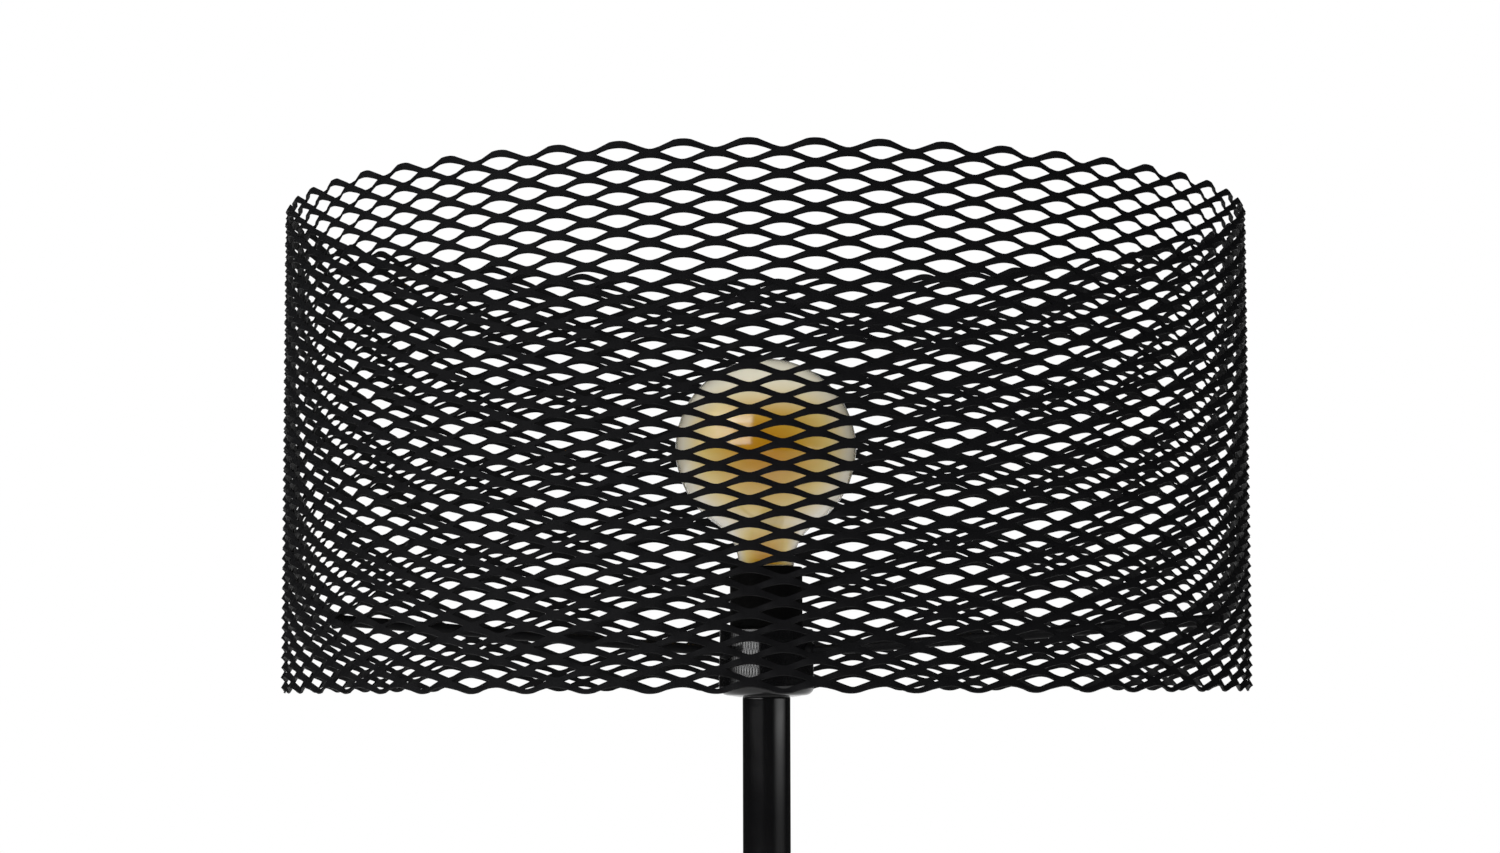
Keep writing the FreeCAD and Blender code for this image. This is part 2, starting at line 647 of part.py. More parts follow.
def globe_outline(offset):
    """Edges of the globe and neck from the top of the axis down to the neck's foot.

    The globe's circle runs into a hollow arc, and that into the straight neck."""
    radius = GLOBE_RADIUS - offset
    neck = NECK_RADIUS - offset
    foot = CAP_BORE_RADIUS - offset
    drop = NECK_BLEND_DROP
    blend = (radius ** 2 - neck ** 2 - drop ** 2) / (2 * (neck - radius))
    centre = (neck + blend, -drop)
    reach = radius / (radius + blend)
    joint = (centre[0] * reach, centre[1] * reach)
    side_angle = math.atan2(joint[1], joint[0]) / 2 + math.pi / 4
    side = (radius * math.cos(side_angle), radius * math.sin(side_angle))
    half_turn = (math.pi + math.atan2(joint[1] - centre[1], joint[0] - centre[0])) / 2
    hollow = (centre[0] + blend * math.cos(half_turn), centre[1] + blend * math.sin(half_turn))
    step_top = TIP_BOTTOM + CAP_TOP - GLOBE_CENTRE
    step_bottom = step_top - NECK_STEP
    foot_height = TIP_BOTTOM + NECK_FOOT - GLOBE_CENTRE

    def lift(point):
        return (point[0], point[1] + GLOBE_CENTRE)

    return [
        arc(lift((0, radius)), lift(side), lift(joint)),
        arc(lift(joint), lift(hollow), lift((neck, -drop))),
        line(lift((neck, -drop)), lift((neck, step_top))),
        line(lift((neck, step_top)), lift((foot, step_bottom))),
        line(lift((foot, step_bottom)), lift((foot, foot_height))),
    ]


def bulb_glass():
    outer = globe_outline(0)
    inner = globe_outline(GLASS_WALL)
    height = TIP_BOTTOM + NECK_FOOT
    top = GLOBE_CENTRE + GLOBE_RADIUS
    edges = outer + inner
    edges.append(line((CAP_BORE_RADIUS, height), (CAP_BORE_RADIUS - GLASS_WALL, height)))
    edges.append(line((0, top), (0, top - GLASS_WALL)))
    return turned(Part.__sortEdges__(edges))


def cap_rings():
    """Heights and radii of the cap's rounded thread ridges, as a wavy line from bottom to top."""
    points = []
    turns = int((CAP_THREAD_TOP - CAP_BOTTOM) / CAP_THREAD_PITCH)
    for turn in range(turns):
        bottom = TIP_BOTTOM + CAP_BOTTOM + turn * CAP_THREAD_PITCH
        points.append((CAP_RADIUS - CAP_THREAD_DEPTH, bottom))
        points.append((CAP_RADIUS, bottom + CAP_THREAD_PITCH / 2))
    points.append((CAP_RADIUS - CAP_THREAD_DEPTH, TIP_BOTTOM + CAP_BOTTOM + turns * CAP_THREAD_PITCH))
    return points


def bulb_cap():
    """Thin sheet cap with rounded thread ridges and a plain collar round the neck."""
    outside = cap_rings()
    collar_foot = outside[-1][1]
    top = TIP_BOTTOM + CAP_TOP - NECK_STEP
    outside.append((CAP_RADIUS, collar_foot + CAP_THREAD_DEPTH))
    outside.append((CAP_RADIUS, top))
    return turned_polygon([(CAP_BORE_RADIUS, TIP_BOTTOM + CAP_BOTTOM)] + outside + [(CAP_BORE_RADIUS, top)])


def bulb_cap_insulator():
    low = TIP_BOTTOM + TIP_HEIGHT
    high = TIP_BOTTOM + CAP_BOTTOM
    return turned_polygon([
        (0, low),
        (TIP_RADIUS, low),
        (CAP_BORE_RADIUS - INSULATOR_SETBACK, high),
        (0, high),
    ])


def bulb_tip():
    """Solder button: a flat dome, lowest on the axis."""
    ball = (TIP_RADIUS ** 2 + TIP_HEIGHT ** 2) / (2 * TIP_HEIGHT)
    half = TIP_RADIUS / 2
    crown = (0, TIP_BOTTOM)
    middle = (half, TIP_BOTTOM + ball - math.sqrt(ball ** 2 - half ** 2))
    side = (TIP_RADIUS, TIP_BOTTOM + TIP_HEIGHT)
    return turned([
        arc(crown, middle, side),
        line(side, (0, side[1])),
        line((0, side[1]), crown),
    ])


def bulb_stem():
    """Glass stem: a flare on the neck's inner wall, a tube, and a rod up the middle."""
    flare = CAP_BORE_RADIUS - GLASS_WALL - STEM_FLARE_GAP
    bottom = TIP_BOTTOM + NECK_FOOT
    knee = bottom + STEM_FLARE_HEIGHT
    top = TIP_BOTTOM + STEM_TOP
    edge = (flare, bottom + STEM_FLARE_EDGE)
    neck = (STEM_RADIUS, knee)
    hollow = quarter_point(edge, neck, (STEM_RADIUS, bottom + STEM_FLARE_EDGE))
    return turned([
        line((0, bottom), (flare, bottom)),
        line((flare, bottom), edge),
        arc(edge, hollow, neck),
        line((STEM_RADIUS, knee), (STEM_RADIUS, top)),
        line((STEM_RADIUS, top), (ROD_RADIUS, top + STEM_RADIUS)),
        line((ROD_RADIUS, top + STEM_RADIUS), (ROD_RADIUS, FILAMENT_HIGH)),
        line((ROD_RADIUS, FILAMENT_HIGH), (0, FILAMENT_HIGH)),
        line((0, FILAMENT_HIGH), (0, bottom)),
    ])


def filament_ends(index):
    azimuth = 360.0 * index / FILAMENT_COUNT
    low = around(RING_LOW_RADIUS, azimuth, FILAMENT_LOW + WIRE_RADIUS)
    high = around(RING_HIGH_RADIUS, azimuth, FILAMENT_HIGH - WIRE_RADIUS)
    return low, high


def support_wires():
    """Two wire rings, each held by its spokes to the rod of the stem."""
    wires = []
    for height, radius in ((FILAMENT_LOW, RING_LOW_RADIUS), (FILAMENT_HIGH, RING_HIGH_RADIUS)):
        hoop = Part.makeTorus(radius, WIRE_RADIUS, V(0, 0, height), UP)
        for index in range(SPOKE_COUNT):
            azimuth = SPOKE_AZIMUTH + 360.0 * index / SPOKE_COUNT
            spoke = rod_between(V(0, 0, height), around(radius, azimuth, height), WIRE_RADIUS)
            hoop = hoop.fuse(spoke)
        wires.append(hoop.cut(disc(ROD_RADIUS, height - 2 * WIRE_RADIUS, height + 2 * WIRE_RADIUS)))
    return Part.makeCompound([solid for wire in wires for solid in wire.Solids])


def filaments():
    """Straight filament rods, leaning outwards from the lower ring to the upper ring."""
    rods = []
    for index in range(FILAMENT_COUNT):
        low, high = filament_ends(index)
        rods.append(rod_between(low, high, FILAMENT_RADIUS))
    rings = support_wires()
    return Part.makeCompound([rod.cut(rings) for rod in rods])


# ---------------------------------------------------------------- assembly


def all_nodes():
    nodes = {
        "base_pad": base_pad(),
        "base_weight": base_weight(),
        "base_cover": base_cover(),
        "cable_gland": cable_gland(),
        "base_nut": hex_nut(BASE_NUT_BOTTOM),
        "base_spring_washer": base_spring_washer(),
        "base_nipple": nipple(BASE_NUT_BOTTOM - NIPPLE_PROUD, BASE_TOP + ENGAGEMENT),
        "foot_collar": foot_collar(),
        "hub_cup": hub_cup(),
        "hub_washer": hub_washer(),
        "hub_nut": hex_nut(HUB_NUT_BOTTOM),
        "head_nipple": nipple(POLE_TOP - ENGAGEMENT, HOLDER_FOOT + HOLDER_BOSS_HEIGHT),
        "spider_arms": spider_arms(),
        "shade_mesh": shade_mesh(),
        "holder_body": holder_body(),
        "holder_lock_screw": holder_lock_screw(),
        "holder_skirt": holder_skirt(),
        "holder_core": holder_core(),
        "screw_shell": screw_shell(),
        "centre_contact": centre_contact(),
        "side_contact": side_contact(),
        "terminal_blocks": terminal_blocks(),
        "terminal_screws": terminal_screws(),
        "bulb_glass": bulb_glass(),
        "bulb_cap": bulb_cap(),
        "bulb_cap_insulator": bulb_cap_insulator(),
        "bulb_tip": bulb_tip(),
        "bulb_stem": bulb_stem(),
        "support_wires": support_wires(),
        "filaments": filaments(),
    }
    nodes.update(pole_nodes())
    return nodes


os.makedirs("parts", exist_ok=True)
for name, shape in all_nodes().items():
    shape.exportStep(os.path.join("parts", name + ".step"))
    print(name, "solids", len(shape.Solids), "volume", round(shape.Volume, 1))
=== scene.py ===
import json
import math

import bmesh
import bpy
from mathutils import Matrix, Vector


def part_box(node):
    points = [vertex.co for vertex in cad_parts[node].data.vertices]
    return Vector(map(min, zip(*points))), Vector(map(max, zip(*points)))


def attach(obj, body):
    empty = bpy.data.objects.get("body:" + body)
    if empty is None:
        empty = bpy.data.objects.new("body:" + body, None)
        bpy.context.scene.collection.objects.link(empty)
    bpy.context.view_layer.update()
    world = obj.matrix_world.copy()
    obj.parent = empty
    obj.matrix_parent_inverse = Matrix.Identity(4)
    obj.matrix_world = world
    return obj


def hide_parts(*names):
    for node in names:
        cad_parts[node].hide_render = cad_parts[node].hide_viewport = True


# Floor lamp with a drum shade of expanded metal. Metres, +Z up, front towards -Y.

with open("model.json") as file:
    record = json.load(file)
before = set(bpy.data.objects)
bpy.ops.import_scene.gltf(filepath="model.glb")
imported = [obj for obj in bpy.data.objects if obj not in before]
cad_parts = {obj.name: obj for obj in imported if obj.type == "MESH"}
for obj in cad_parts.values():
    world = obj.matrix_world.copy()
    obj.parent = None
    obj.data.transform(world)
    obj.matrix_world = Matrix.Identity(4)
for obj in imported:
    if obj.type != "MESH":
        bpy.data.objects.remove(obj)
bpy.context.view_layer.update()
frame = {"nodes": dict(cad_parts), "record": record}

MM = 0.001

# ---------------------------------------------------------------- sizes read from the frame


def low(node):
    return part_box(node)[0]


def high(node):
    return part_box(node)[1]


RIM_HEIGHT = low("shade_mesh").z
SHADE_HEIGHT = high("shade_mesh").z - RIM_HEIGHT
SHADE_RADIUS = high("shade_mesh").x
TUBE_RADIUS = high("upper_tube").x
TIP_HEIGHT = low("bulb_tip").z
GLOBE_TOP = high("bulb_glass").z

# ---------------------------------------------------------------- sizes of the fine detail

# expanded metal: one diamond is a column pitch wide and two row steps high
COLUMNS = 52
ROWS = 48
HOLE_HALF_WIDTH = 11.0 * MM
HOLE_RISE = 2.45 * MM              # top of a hole above the line through its tips
HOLE_DROP = 3.75 * MM              # bottom of a hole below that line
RIM_TO_HOLE = 5.8 * MM             # rim to the middle of the first row of holes
SHEET = 1.0 * MM
WALL_TO_MIDDLE = 0.75 * MM         # outermost point of the drum to the middle of its sheet
STRAND_TILT = math.radians(30)     # each strand leans back at its upper edge
CUT_CREST = 0.5 * MM               # how far the cut edge stands past the last bond
PATTERN_TURN = -0.0345             # radians, the first column of the top row from the front
ARCH_POWER = 1.7                   # upper edge of a hole: a smooth arch
VEE_ROUND = 1.5 * MM               # lower edge of a hole: a V with a round bottom
BOND_STATIONS = (-1.0, -0.55, -0.2, 0.2, 0.55, 1.0)

ROW_STEP = (SHADE_HEIGHT - 2 * RIM_TO_HOLE) / (ROWS - 1)
MID_RADIUS = SHADE_RADIUS - WALL_TO_MIDDLE
HALF_PITCH = math.pi * MID_RADIUS / COLUMNS
BOND_HALF = HALF_PITCH - HOLE_HALF_WIDTH

# camera: found from the rims and sides of the shade as the photograph shows them
PHOTO_WIDTH = 1500.0
FOCAL_PIXELS = 3146.0
SENSOR_WIDTH = 36.0
CAMERA_DISTANCE = 1.6513
CAMERA_PITCH = 0.08116
CAMERA_ROLL = 0.0024
CAMERA_ABOVE_RIM = 5.1 * MM
CAMERA_LEFT = 8.6 * MM
CAMERA_REACH = 200.0               # metres that the camera sees

# ---------------------------------------------------------------- mesh helpers

SHARP_EDGE = math.radians(35)      # steeper edges stay sharp
MERGE_DISTANCE = 1e-7              # metres, doubles and points on the axis
FILLET_STEPS = 5
LONG_STRAIGHT = 6.0 * MM
SUPPORT = 0.3 * MM                 # inset of the points that keep a long straight evenly shaded
TURNED_SIDES = 128
ROD_SIDES = 32
ROD_EDGE = 0.12                    # rounding of a bar's ends, as a share of its radius
BEAD_SIDES = 24
BEAD_RINGS = 8
BEAD_ROLLS = (0.06, 9)             # depth of the rolls along a weld bead, radians over its length
BEAD_RIPPLES = (0.03, 5)           # depth and number of the ripples round it


def add_object(name, mesh, material):
    """New object at the origin with one material, linked to the scene."""
    obj = bpy.data.objects.new(name, mesh)
    bpy.context.scene.collection.objects.link(obj)
    mesh.materials.clear()
    mesh.materials.append(material)
    return obj


def mesh_from(name, points, faces):
    """Mesh with outward normals, smooth except along its sharp edges."""
    mesh = bpy.data.meshes.new(name)
    mesh.from_pydata([tuple(point) for point in points], [], faces)
    shape = bmesh.new()
    shape.from_mesh(mesh)
    bmesh.ops.remove_doubles(shape, verts=shape.verts, dist=MERGE_DISTANCE)
    bmesh.ops.recalc_face_normals(shape, faces=shape.faces)
    for face in shape.faces:
        face.smooth = True
    for edge in shape.edges:
        edge.smooth = len(edge.link_faces) == 2 and edge.calc_face_angle(0.0) < SHARP_EDGE
    shape.to_mesh(mesh)
    shape.free()
    return mesh


def fillet(before, corner, after, radius):
    """Points of a round corner of a profile."""
    corner = Vector(corner)
    back = (Vector(before) - corner).normalized()
    ahead = (Vector(after) - corner).normalized()
    half = back.angle(ahead) / 2
    reach = radius / math.tan(half)
    centre = corner + (back + ahead).normalized() * (radius / math.sin(half))
    start = corner + back * reach - centre
    end = corner + ahead * reach - centre
    points = []
    turn = start.angle(end)
    for step in range(FILLET_STEPS + 1):
        share = step / FILLET_STEPS
        blend = (math.sin((1 - share) * turn) * start + math.sin(share * turn) * end) / math.sin(turn)
        points.append(tuple(centre + blend))
    return points


def rounded(corners):
    """Profile from (radius, height, fillet) corners; a fillet of 0 keeps the corner sharp."""
    points = []
    count = len(corners)
    for index, (radius, height, size) in enumerate(corners):
        if size == 0:
            points.append((radius, height))
            continue
        before = corners[index - 1][:2]
        after = corners[(index + 1) % count][:2]
        points += fillet(before, (radius, height), after, size)
    return points


def supported(profile, closed):
    """Profile with a point just inside both ends of long straights, so that they shade straight."""
    points = []
    following = profile[1:] + (profile[:1] if closed else [])
    for start, end in zip(profile, following):
        points.append(tuple(start))
        step = Vector(end) - Vector(start)
        if step.length > LONG_STRAIGHT:
            inset = step.normalized() * SUPPORT
            points.append(tuple(Vector(start) + inset))
            points.append(tuple(Vector(end) - inset))
    if not closed:
        points.append(tuple(profile[-1]))
    return points


def tube_faces(rings, sides, closed=False):
    """Quads between neighbouring rings of points; closed joins the last ring to the first."""
    faces = []
    for ring in range(rings if closed else rings - 1):
        first = ring * sides
        second = (ring + 1) % rings * sides
        for step in range(sides):
            following = (step + 1) % sides
            faces.append([first + step, first + following, second + following, second + step])
    return faces


def lathe(name, profile, segments=TURNED_SIDES, closed=True):
    """Turned mesh from (radius, height) points. Points on the axis become a single pole."""
    points = []
    rings = []
    for radius, height in supported(profile, closed):
        if radius < MERGE_DISTANCE:
            rings.append([len(points)] * segments)
            points.append((0.0, 0.0, height))
            continue
        rings.append(list(range(len(points), len(points) + segments)))
        for step in range(segments):
            angle = 2 * math.pi * step / segments
            points.append((radius * math.cos(angle), radius * math.sin(angle), height))
    faces = []
    pairs = list(zip(rings, rings[1:]))
    if closed:
        pairs.append((rings[-1], rings[0]))
    for inner, outer in pairs:
        for step in range(segments):
            following = (step + 1) % segments
            corners = [inner[step], inner[following], outer[following], outer[step]]
            corners = list(dict.fromkeys(corners))
            if len(corners) > 2:
                faces.append(corners)
    return mesh_from(name, points, faces)


def rod(start, end, radius):
    """Points and faces of a round bar with slightly rounded ends."""
    start = Vector(start)
    end = Vector(end)
    along = (end - start).normalized()
    side = along.orthogonal().normalized()
    other = along.cross(side)
    edge = radius * ROD_EDGE
    stations = [
        (start, radius - edge),
        (start + along * edge, radius),
        (end - along * edge, radius),
        (end, radius - edge),
    ]
    points = []
    for centre, size in stations:
        for step in range(ROD_SIDES):
            angle = 2 * math.pi * step / ROD_SIDES
            points.append(centre + (side * math.cos(angle) + other * math.sin(angle)) * size)
    last = (len(stations) - 1) * ROD_SIDES
    ends = [list(range(ROD_SIDES)), list(range(last, last + ROD_SIDES))]
    return points, ends + tube_faces(len(stations), ROD_SIDES)


def bead(start, end, radius, size):
    """Points and faces of a rounded weld collar round a bar, from start to end."""
    start = Vector(start)
    along = Vector(end) - start
    side = along.orthogonal().normalized()
    other = along.normalized().cross(side)
    roll, rolls = BEAD_ROLLS
    depth, ripples = BEAD_RIPPLES
    points = []
    for ring in range(BEAD_RINGS + 1):
        share = ring / BEAD_RINGS
        fall = math.sqrt(max(0.0, 1 - share ** 2))
        swell = radius + size * fall * (1 + roll * math.sin(rolls * share))
        for step in range(BEAD_SIDES):
            angle = 2 * math.pi * step / BEAD_SIDES
            ripple = 1 + depth * math.sin(ripples * angle)
            outward = side * math.cos(angle) + other * math.sin(angle)
            points.append(start + along * share + outward * swell * ripple)
    last = BEAD_RINGS * BEAD_SIDES
    ends = [list(range(BEAD_SIDES)), list(range(last, last + BEAD_SIDES))]
    return points, ends + tube_faces(BEAD_RINGS + 1, BEAD_SIDES)


def joined(name, shapes):
    """One mesh from several (points, faces) shapes."""
    points = []
    faces = []
    for shape_points, shape_faces in shapes:
        first = len(points)
        points += [tuple(point) for point in shape_points]
        faces += [[first + index for index in face] for face in shape_faces]
    return mesh_from(name, points, faces)


# ---------------------------------------------------------------- material helpers

NOISE_SWING = (0.3, 0.7)
FINE_BUMP = 0.0001                 # metres
COARSE_BUMP = 0.0002

# amber of the globe by how far the glass turns away from the eye, from facing it to the rim, with a
# painted reflection that turns it pale towards the rim
AMBER_AND_RIM_REFLECTION_RAMP = (
    (0.0, (0.56, 0.27, 0.01)),
    (0.08, (0.66, 0.40, 0.05)),
    (0.28, (0.88, 0.69, 0.24)),
    (0.6, (1.0, 0.96, 0.80)),
)
# painted highlight: colour that the crown of the globe is painted towards its top
CROWN_HIGHLIGHT_COLOUR = (1.0, 0.96, 0.80)
CROWN_HIGHLIGHT_START = 36.0 * MM            # below the top of the globe, where the painted highlight of the crown begins
CROWN_HIGHLIGHT_FULL = 8.0 * MM              # below the top, where the painted highlight is full


class Finish:
    """Small builder for one node material around a Principled shader."""

    def __init__(self, name, colour, roughness, metallic=0.0):
        self.material = bpy.data.materials.new(name)
        self.material.use_nodes = True
        self.tree = self.material.node_tree
        self.shader = self.tree.nodes["Principled BSDF"]
        self.shader.inputs["Base Color"].default_value = (*colour, 1.0)
        self.shader.inputs["Roughness"].default_value = roughness
        self.shader.inputs["Metallic"].default_value = metallic
        self.place = self.add("ShaderNodeTexCoord").outputs["Object"]

    def add(self, kind, **settings):
        node = self.tree.nodes.new(kind)
        for key, value in settings.items():
            setattr(node, key, value)
        return node

    def link(self, source, target):
        self.tree.links.new(source, target)

    def noise(self, scale, detail=3.0, stretch=(1, 1, 1)):
        mapping = self.add("ShaderNodeMapping")
        mapping.inputs["Scale"].default_value = stretch
        texture = self.add("ShaderNodeTexNoise")
        texture.inputs["Scale"].default_value = scale
        texture.inputs["Detail"].default_value = detail
        self.link(self.place, mapping.inputs["Vector"])
        self.link(mapping.outputs["Vector"], texture.inputs["Vector"])
        return texture.outputs["Fac"]

    def faded(self, value, start, end):
        """0 at start, 1 at end, smooth between them."""
        ramp = self.add("ShaderNodeMapRange", interpolation_type="SMOOTHSTEP")
        ramp.inputs["From Min"].default_value = start
        ramp.inputs["From Max"].default_value = end
        self.link(value, ramp.inputs["Value"])
        return ramp.outputs["Result"]

    def colours(self, value, first, second):
        """Base colour blended between two by a noise value."""
        mix = self.add("ShaderNodeMix", data_type="RGBA")
        mix.inputs["A"].default_value = (*first, 1.0)
        mix.inputs["B"].default_value = (*second, 1.0)
        self.link(value, mix.inputs["Factor"])
        self.link(mix.outputs["Result"], self.shader.inputs["Base Color"])

    def rough(self, value, lowest, highest):
        """Roughness spread over a range by the usual swing of a noise value."""
        ramp = self.add("ShaderNodeMapRange")
        ramp.inputs["From Min"].default_value = NOISE_SWING[0]
        ramp.inputs["From Max"].default_value = NOISE_SWING[1]
        ramp.inputs["To Min"].default_value = lowest
        ramp.inputs["To Max"].default_value = highest
        self.link(value, ramp.inputs["Value"])
        self.link(ramp.outputs["Result"], self.shader.inputs["Roughness"])

    def bump(self, value, strength, distance):
        node = self.add("ShaderNodeBump")
        node.inputs["Strength"].default_value = strength
        node.inputs["Distance"].default_value = distance
        self.link(value, node.inputs["Height"])
        self.link(node.outputs["Normal"], self.shader.inputs["Normal"])


def powder_coat():
    """Matt black powder coat: fine dimples and a faint change of sheen."""
    finish = Finish("powder_coat", (0.004, 0.004, 0.0045), 0.5)
    finish.shader.inputs["Specular IOR Level"].default_value = 0.05
    finish.colours(finish.noise(60.0), (0.002, 0.002, 0.0022), (0.004, 0.004, 0.0044))
    finish.rough(finish.noise(180.0), 0.42, 0.58)
    finish.bump(finish.noise(2600.0, 2.0), 0.35, COARSE_BUMP)
    return finish.material


def gloss_lacquer():
    """Gloss black lacquer with a little orange peel."""
    finish = Finish("gloss_lacquer", (0.002, 0.002, 0.0022), 0.08)
    finish.colours(finish.noise(9.0), (0.0015, 0.0015, 0.0017), (0.003, 0.003, 0.0033))
    finish.rough(finish.noise(40.0), 0.06, 0.11)
    finish.bump(finish.noise(420.0, 2.0), 0.015, COARSE_BUMP)
    return finish.material


def holder_plastic():
    """Matt black moulded phenolic."""
    finish = Finish("holder_plastic", (0.002, 0.002, 0.002), 0.7)
    finish.colours(finish.noise(120.0), (0.0005, 0.0005, 0.0005), (0.0015, 0.0015, 0.0015))
    finish.rough(finish.noise(300.0), 0.62, 0.78)
    finish.bump(finish.noise(3200.0, 2.0), 0.25, FINE_BUMP)
    finish.shader.inputs["Specular IOR Level"].default_value = 0.03
    return finish.material


def metal(name, colour, dull, roughness, grain):
    """Bare or plated metal: brushed grain, dull patches."""
    finish = Finish(name, colour, roughness, 1.0)
    finish.colours(finish.noise(90.0), colour, dull)
    finish.rough(finish.noise(400.0, 3.0, grain), roughness - 0.08, roughness + 0.12)
    finish.bump(finish.noise(900.0, 2.0, grain), 0.12, FINE_BUMP)
    return finish.material


def cast_iron():
    finish = Finish("cast_iron", (0.07, 0.07, 0.075), 0.75, 0.3)
    finish.colours(finish.noise(70.0), (0.05, 0.05, 0.053), (0.11, 0.105, 0.10))
    finish.rough(finish.noise(200.0), 0.6, 0.9)
    finish.bump(finish.noise(500.0, 5.0), 0.6, 0.0006)
    return finish.material


def foam():
    finish = Finish("foam", (0.02, 0.02, 0.02), 0.95)
    finish.colours(finish.noise(400.0), (0.014, 0.014, 0.014), (0.032, 0.032, 0.032))
    finish.bump(finish.noise(1500.0, 4.0), 0.8, 0.0005)
    return finish.material


def ceramic():
    finish = Finish("ceramic", (0.80, 0.78, 0.73), 0.3)
    finish.colours(finish.noise(80.0), (0.74, 0.71, 0.66), (0.84, 0.82, 0.78))
    finish.rough(finish.noise(300.0), 0.2, 0.4)
    finish.bump(finish.noise(700.0), 0.1, FINE_BUMP)
    return finish.material


def cap_glass():
    finish = Finish("cap_glass", (0.012, 0.012, 0.014), 0.15)
    finish.colours(finish.noise(200.0), (0.008, 0.008, 0.010), (0.03, 0.03, 0.035))
    finish.rough(finish.noise(500.0), 0.1, 0.25)
    return finish.material


def phosphor():
    """Yellow phosphor coat of the filament rods."""
    finish = Finish("phosphor", (0.85, 0.50, 0.08), 0.6)
    finish.colours(finish.noise(900.0), (0.72, 0.38, 0.04), (0.92, 0.58, 0.12))
    finish.rough(finish.noise(900.0), 0.5, 0.75)
    finish.bump(finish.noise(3000.0), 0.3, FINE_BUMP)
    return finish.material


def amber_glass():
    """Amber glass with a milky haze: deep amber where it faces the eye, with a painted reflection that
    pales it towards the rim and a painted highlight that pales the crown.
    """
    finish = Finish("amber_glass", (0.95, 0.78, 0.42), 0.05)
    shader = finish.shader
    shader.inputs["IOR"].default_value = 1.45
    shader.inputs["Transmission Weight"].default_value = 0.48
    shader.inputs["Coat Weight"].default_value = 1.0
    shader.inputs["Coat Roughness"].default_value = 0.02
    shader.inputs["Coat IOR"].default_value = 1.5
    # painted reflection: the colour goes pale as the glass turns away from the eye
    facing = finish.add("ShaderNodeLayerWeight").outputs["Facing"]
    ramp = finish.add("ShaderNodeValToRGB")
    stops = ramp.color_ramp.elements
    stops[0].position, first = AMBER_AND_RIM_REFLECTION_RAMP[0]
    stops[0].color = (*first, 1.0)
    stops[1].position, last = AMBER_AND_RIM_REFLECTION_RAMP[-1]
    stops[1].color = (*last, 1.0)
    for position, colour in AMBER_AND_RIM_REFLECTION_RAMP[1:-1]:
        stops.new(position).color = (*colour, 1.0)
    finish.link(facing, ramp.inputs["Fac"])
    # painted highlight: pale colour blended in near the top of the globe
    separate = finish.add("ShaderNodeSeparateXYZ")
    finish.link(finish.place, separate.inputs["Vector"])
    crown = finish.faded(separate.outputs["Z"], GLOBE_TOP - CROWN_HIGHLIGHT_START, GLOBE_TOP - CROWN_HIGHLIGHT_FULL)
    mix = finish.add("ShaderNodeMix", data_type="RGBA")
    mix.inputs["B"].default_value = (*CROWN_HIGHLIGHT_COLOUR, 1.0)
    finish.link(crown, mix.inputs["Factor"])
    finish.link(ramp.outputs["Color"], mix.inputs["A"])
    finish.link(mix.outputs["Result"], shader.inputs["Base Color"])
    finish.rough(finish.noise(25.0), 0.05, 0.08)
    return finish.material


def clear_glass():
    finish = Finish("clear_glass", (0.93, 0.90, 0.84), 0.02)
    finish.shader.inputs["Transmission Weight"].default_value = 1.0
    finish.shader.inputs["IOR"].default_value = 1.45
    finish.colours(finish.noise(50.0), (0.90, 0.86, 0.78), (0.96, 0.94, 0.90))
    finish.rough(finish.noise(60.0), 0.0, 0.05)
    return finish.material


powder = powder_coat()
lacquer = gloss_lacquer()
plastic = holder_plastic()
iron = cast_iron()
pad_foam = foam()
core_ceramic = ceramic()
insulator_glass = cap_glass()
filament_coat = phosphor()
globe_glass = amber_glass()
stem_glass = clear_glass()
zinc = metal("zinc_plate", (0.62, 0.62, 0.64), (0.48, 0.48, 0.50), 0.32, (1, 1, 4))
brass = metal("brass_sheet", (0.78, 0.58, 0.26), (0.62, 0.43, 0.18), 0.28, (4, 4, 1))
nickel = metal("nickel_plate", (0.66, 0.63, 0.58), (0.52, 0.49, 0.44), 0.24, (1, 1, 5))
solder = metal("soft_solder", (0.60, 0.60, 0.60), (0.42, 0.42, 0.43), 0.38, (1, 1, 1))

SLOT_MATERIALS = {
    "black_matt": powder,
    "black_gloss": lacquer,
    "iron": iron,
    "zinc": zinc,
    "foam": pad_foam,
    "holder_black": plastic,
    "core_white": core_ceramic,
    "brass": brass,
    "amber_glass": globe_glass,
    "clear_glass": stem_glass,
    "nickel": nickel,
    "cap_black": insulator_glass,
    "solder": solder,
    "phosphor": filament_coat,
}

# ---------------------------------------------------------------- pieces and their frame


def dress_frame_nodes():
    """Gives every node of the frame the material of its slot."""
    slots = {row["node"]: row["material_slot"] for row in frame["record"]["subparts"]}
    for name, node in frame["nodes"].items():
        node.data.materials.clear()
        node.data.materials.append(SLOT_MATERIALS[slots[name]])


def place(obj, body, slot, *nodes):
    """Ties a piece to its body and hides the nodes that it stands for; slot is not used."""
    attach(obj, body)
    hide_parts(*nodes)


# ---------------------------------------------------------------- expanded metal cell

SHARP_STRAND_EDGE = math.radians(40)
SAME_PLACE = 1e-9                  # metres
CELL_WELD = 1e-5                   # metres, joins neighbouring cells


def arch(distance):
    """Upper edge of a hole above its middle, at a distance from the middle."""
    return HOLE_RISE * (1 - min(1.0, abs(distance) / HOLE_HALF_WIDTH) ** ARCH_POWER)


def vee(distance):
    """Lower edge of a hole below its middle."""
    run = math.hypot(distance, VEE_ROUND) - VEE_ROUND
    whole = math.hypot(HOLE_HALF_WIDTH, VEE_ROUND) - VEE_ROUND
    return -HOLE_DROP * (1 - min(1.0, run / whole))


def crest(distance):
    """Cut edge of a rim past the middle of its last bond."""
    return CUT_CREST * (1 - min(1.0, abs(distance) / BOND_HALF) ** 2)


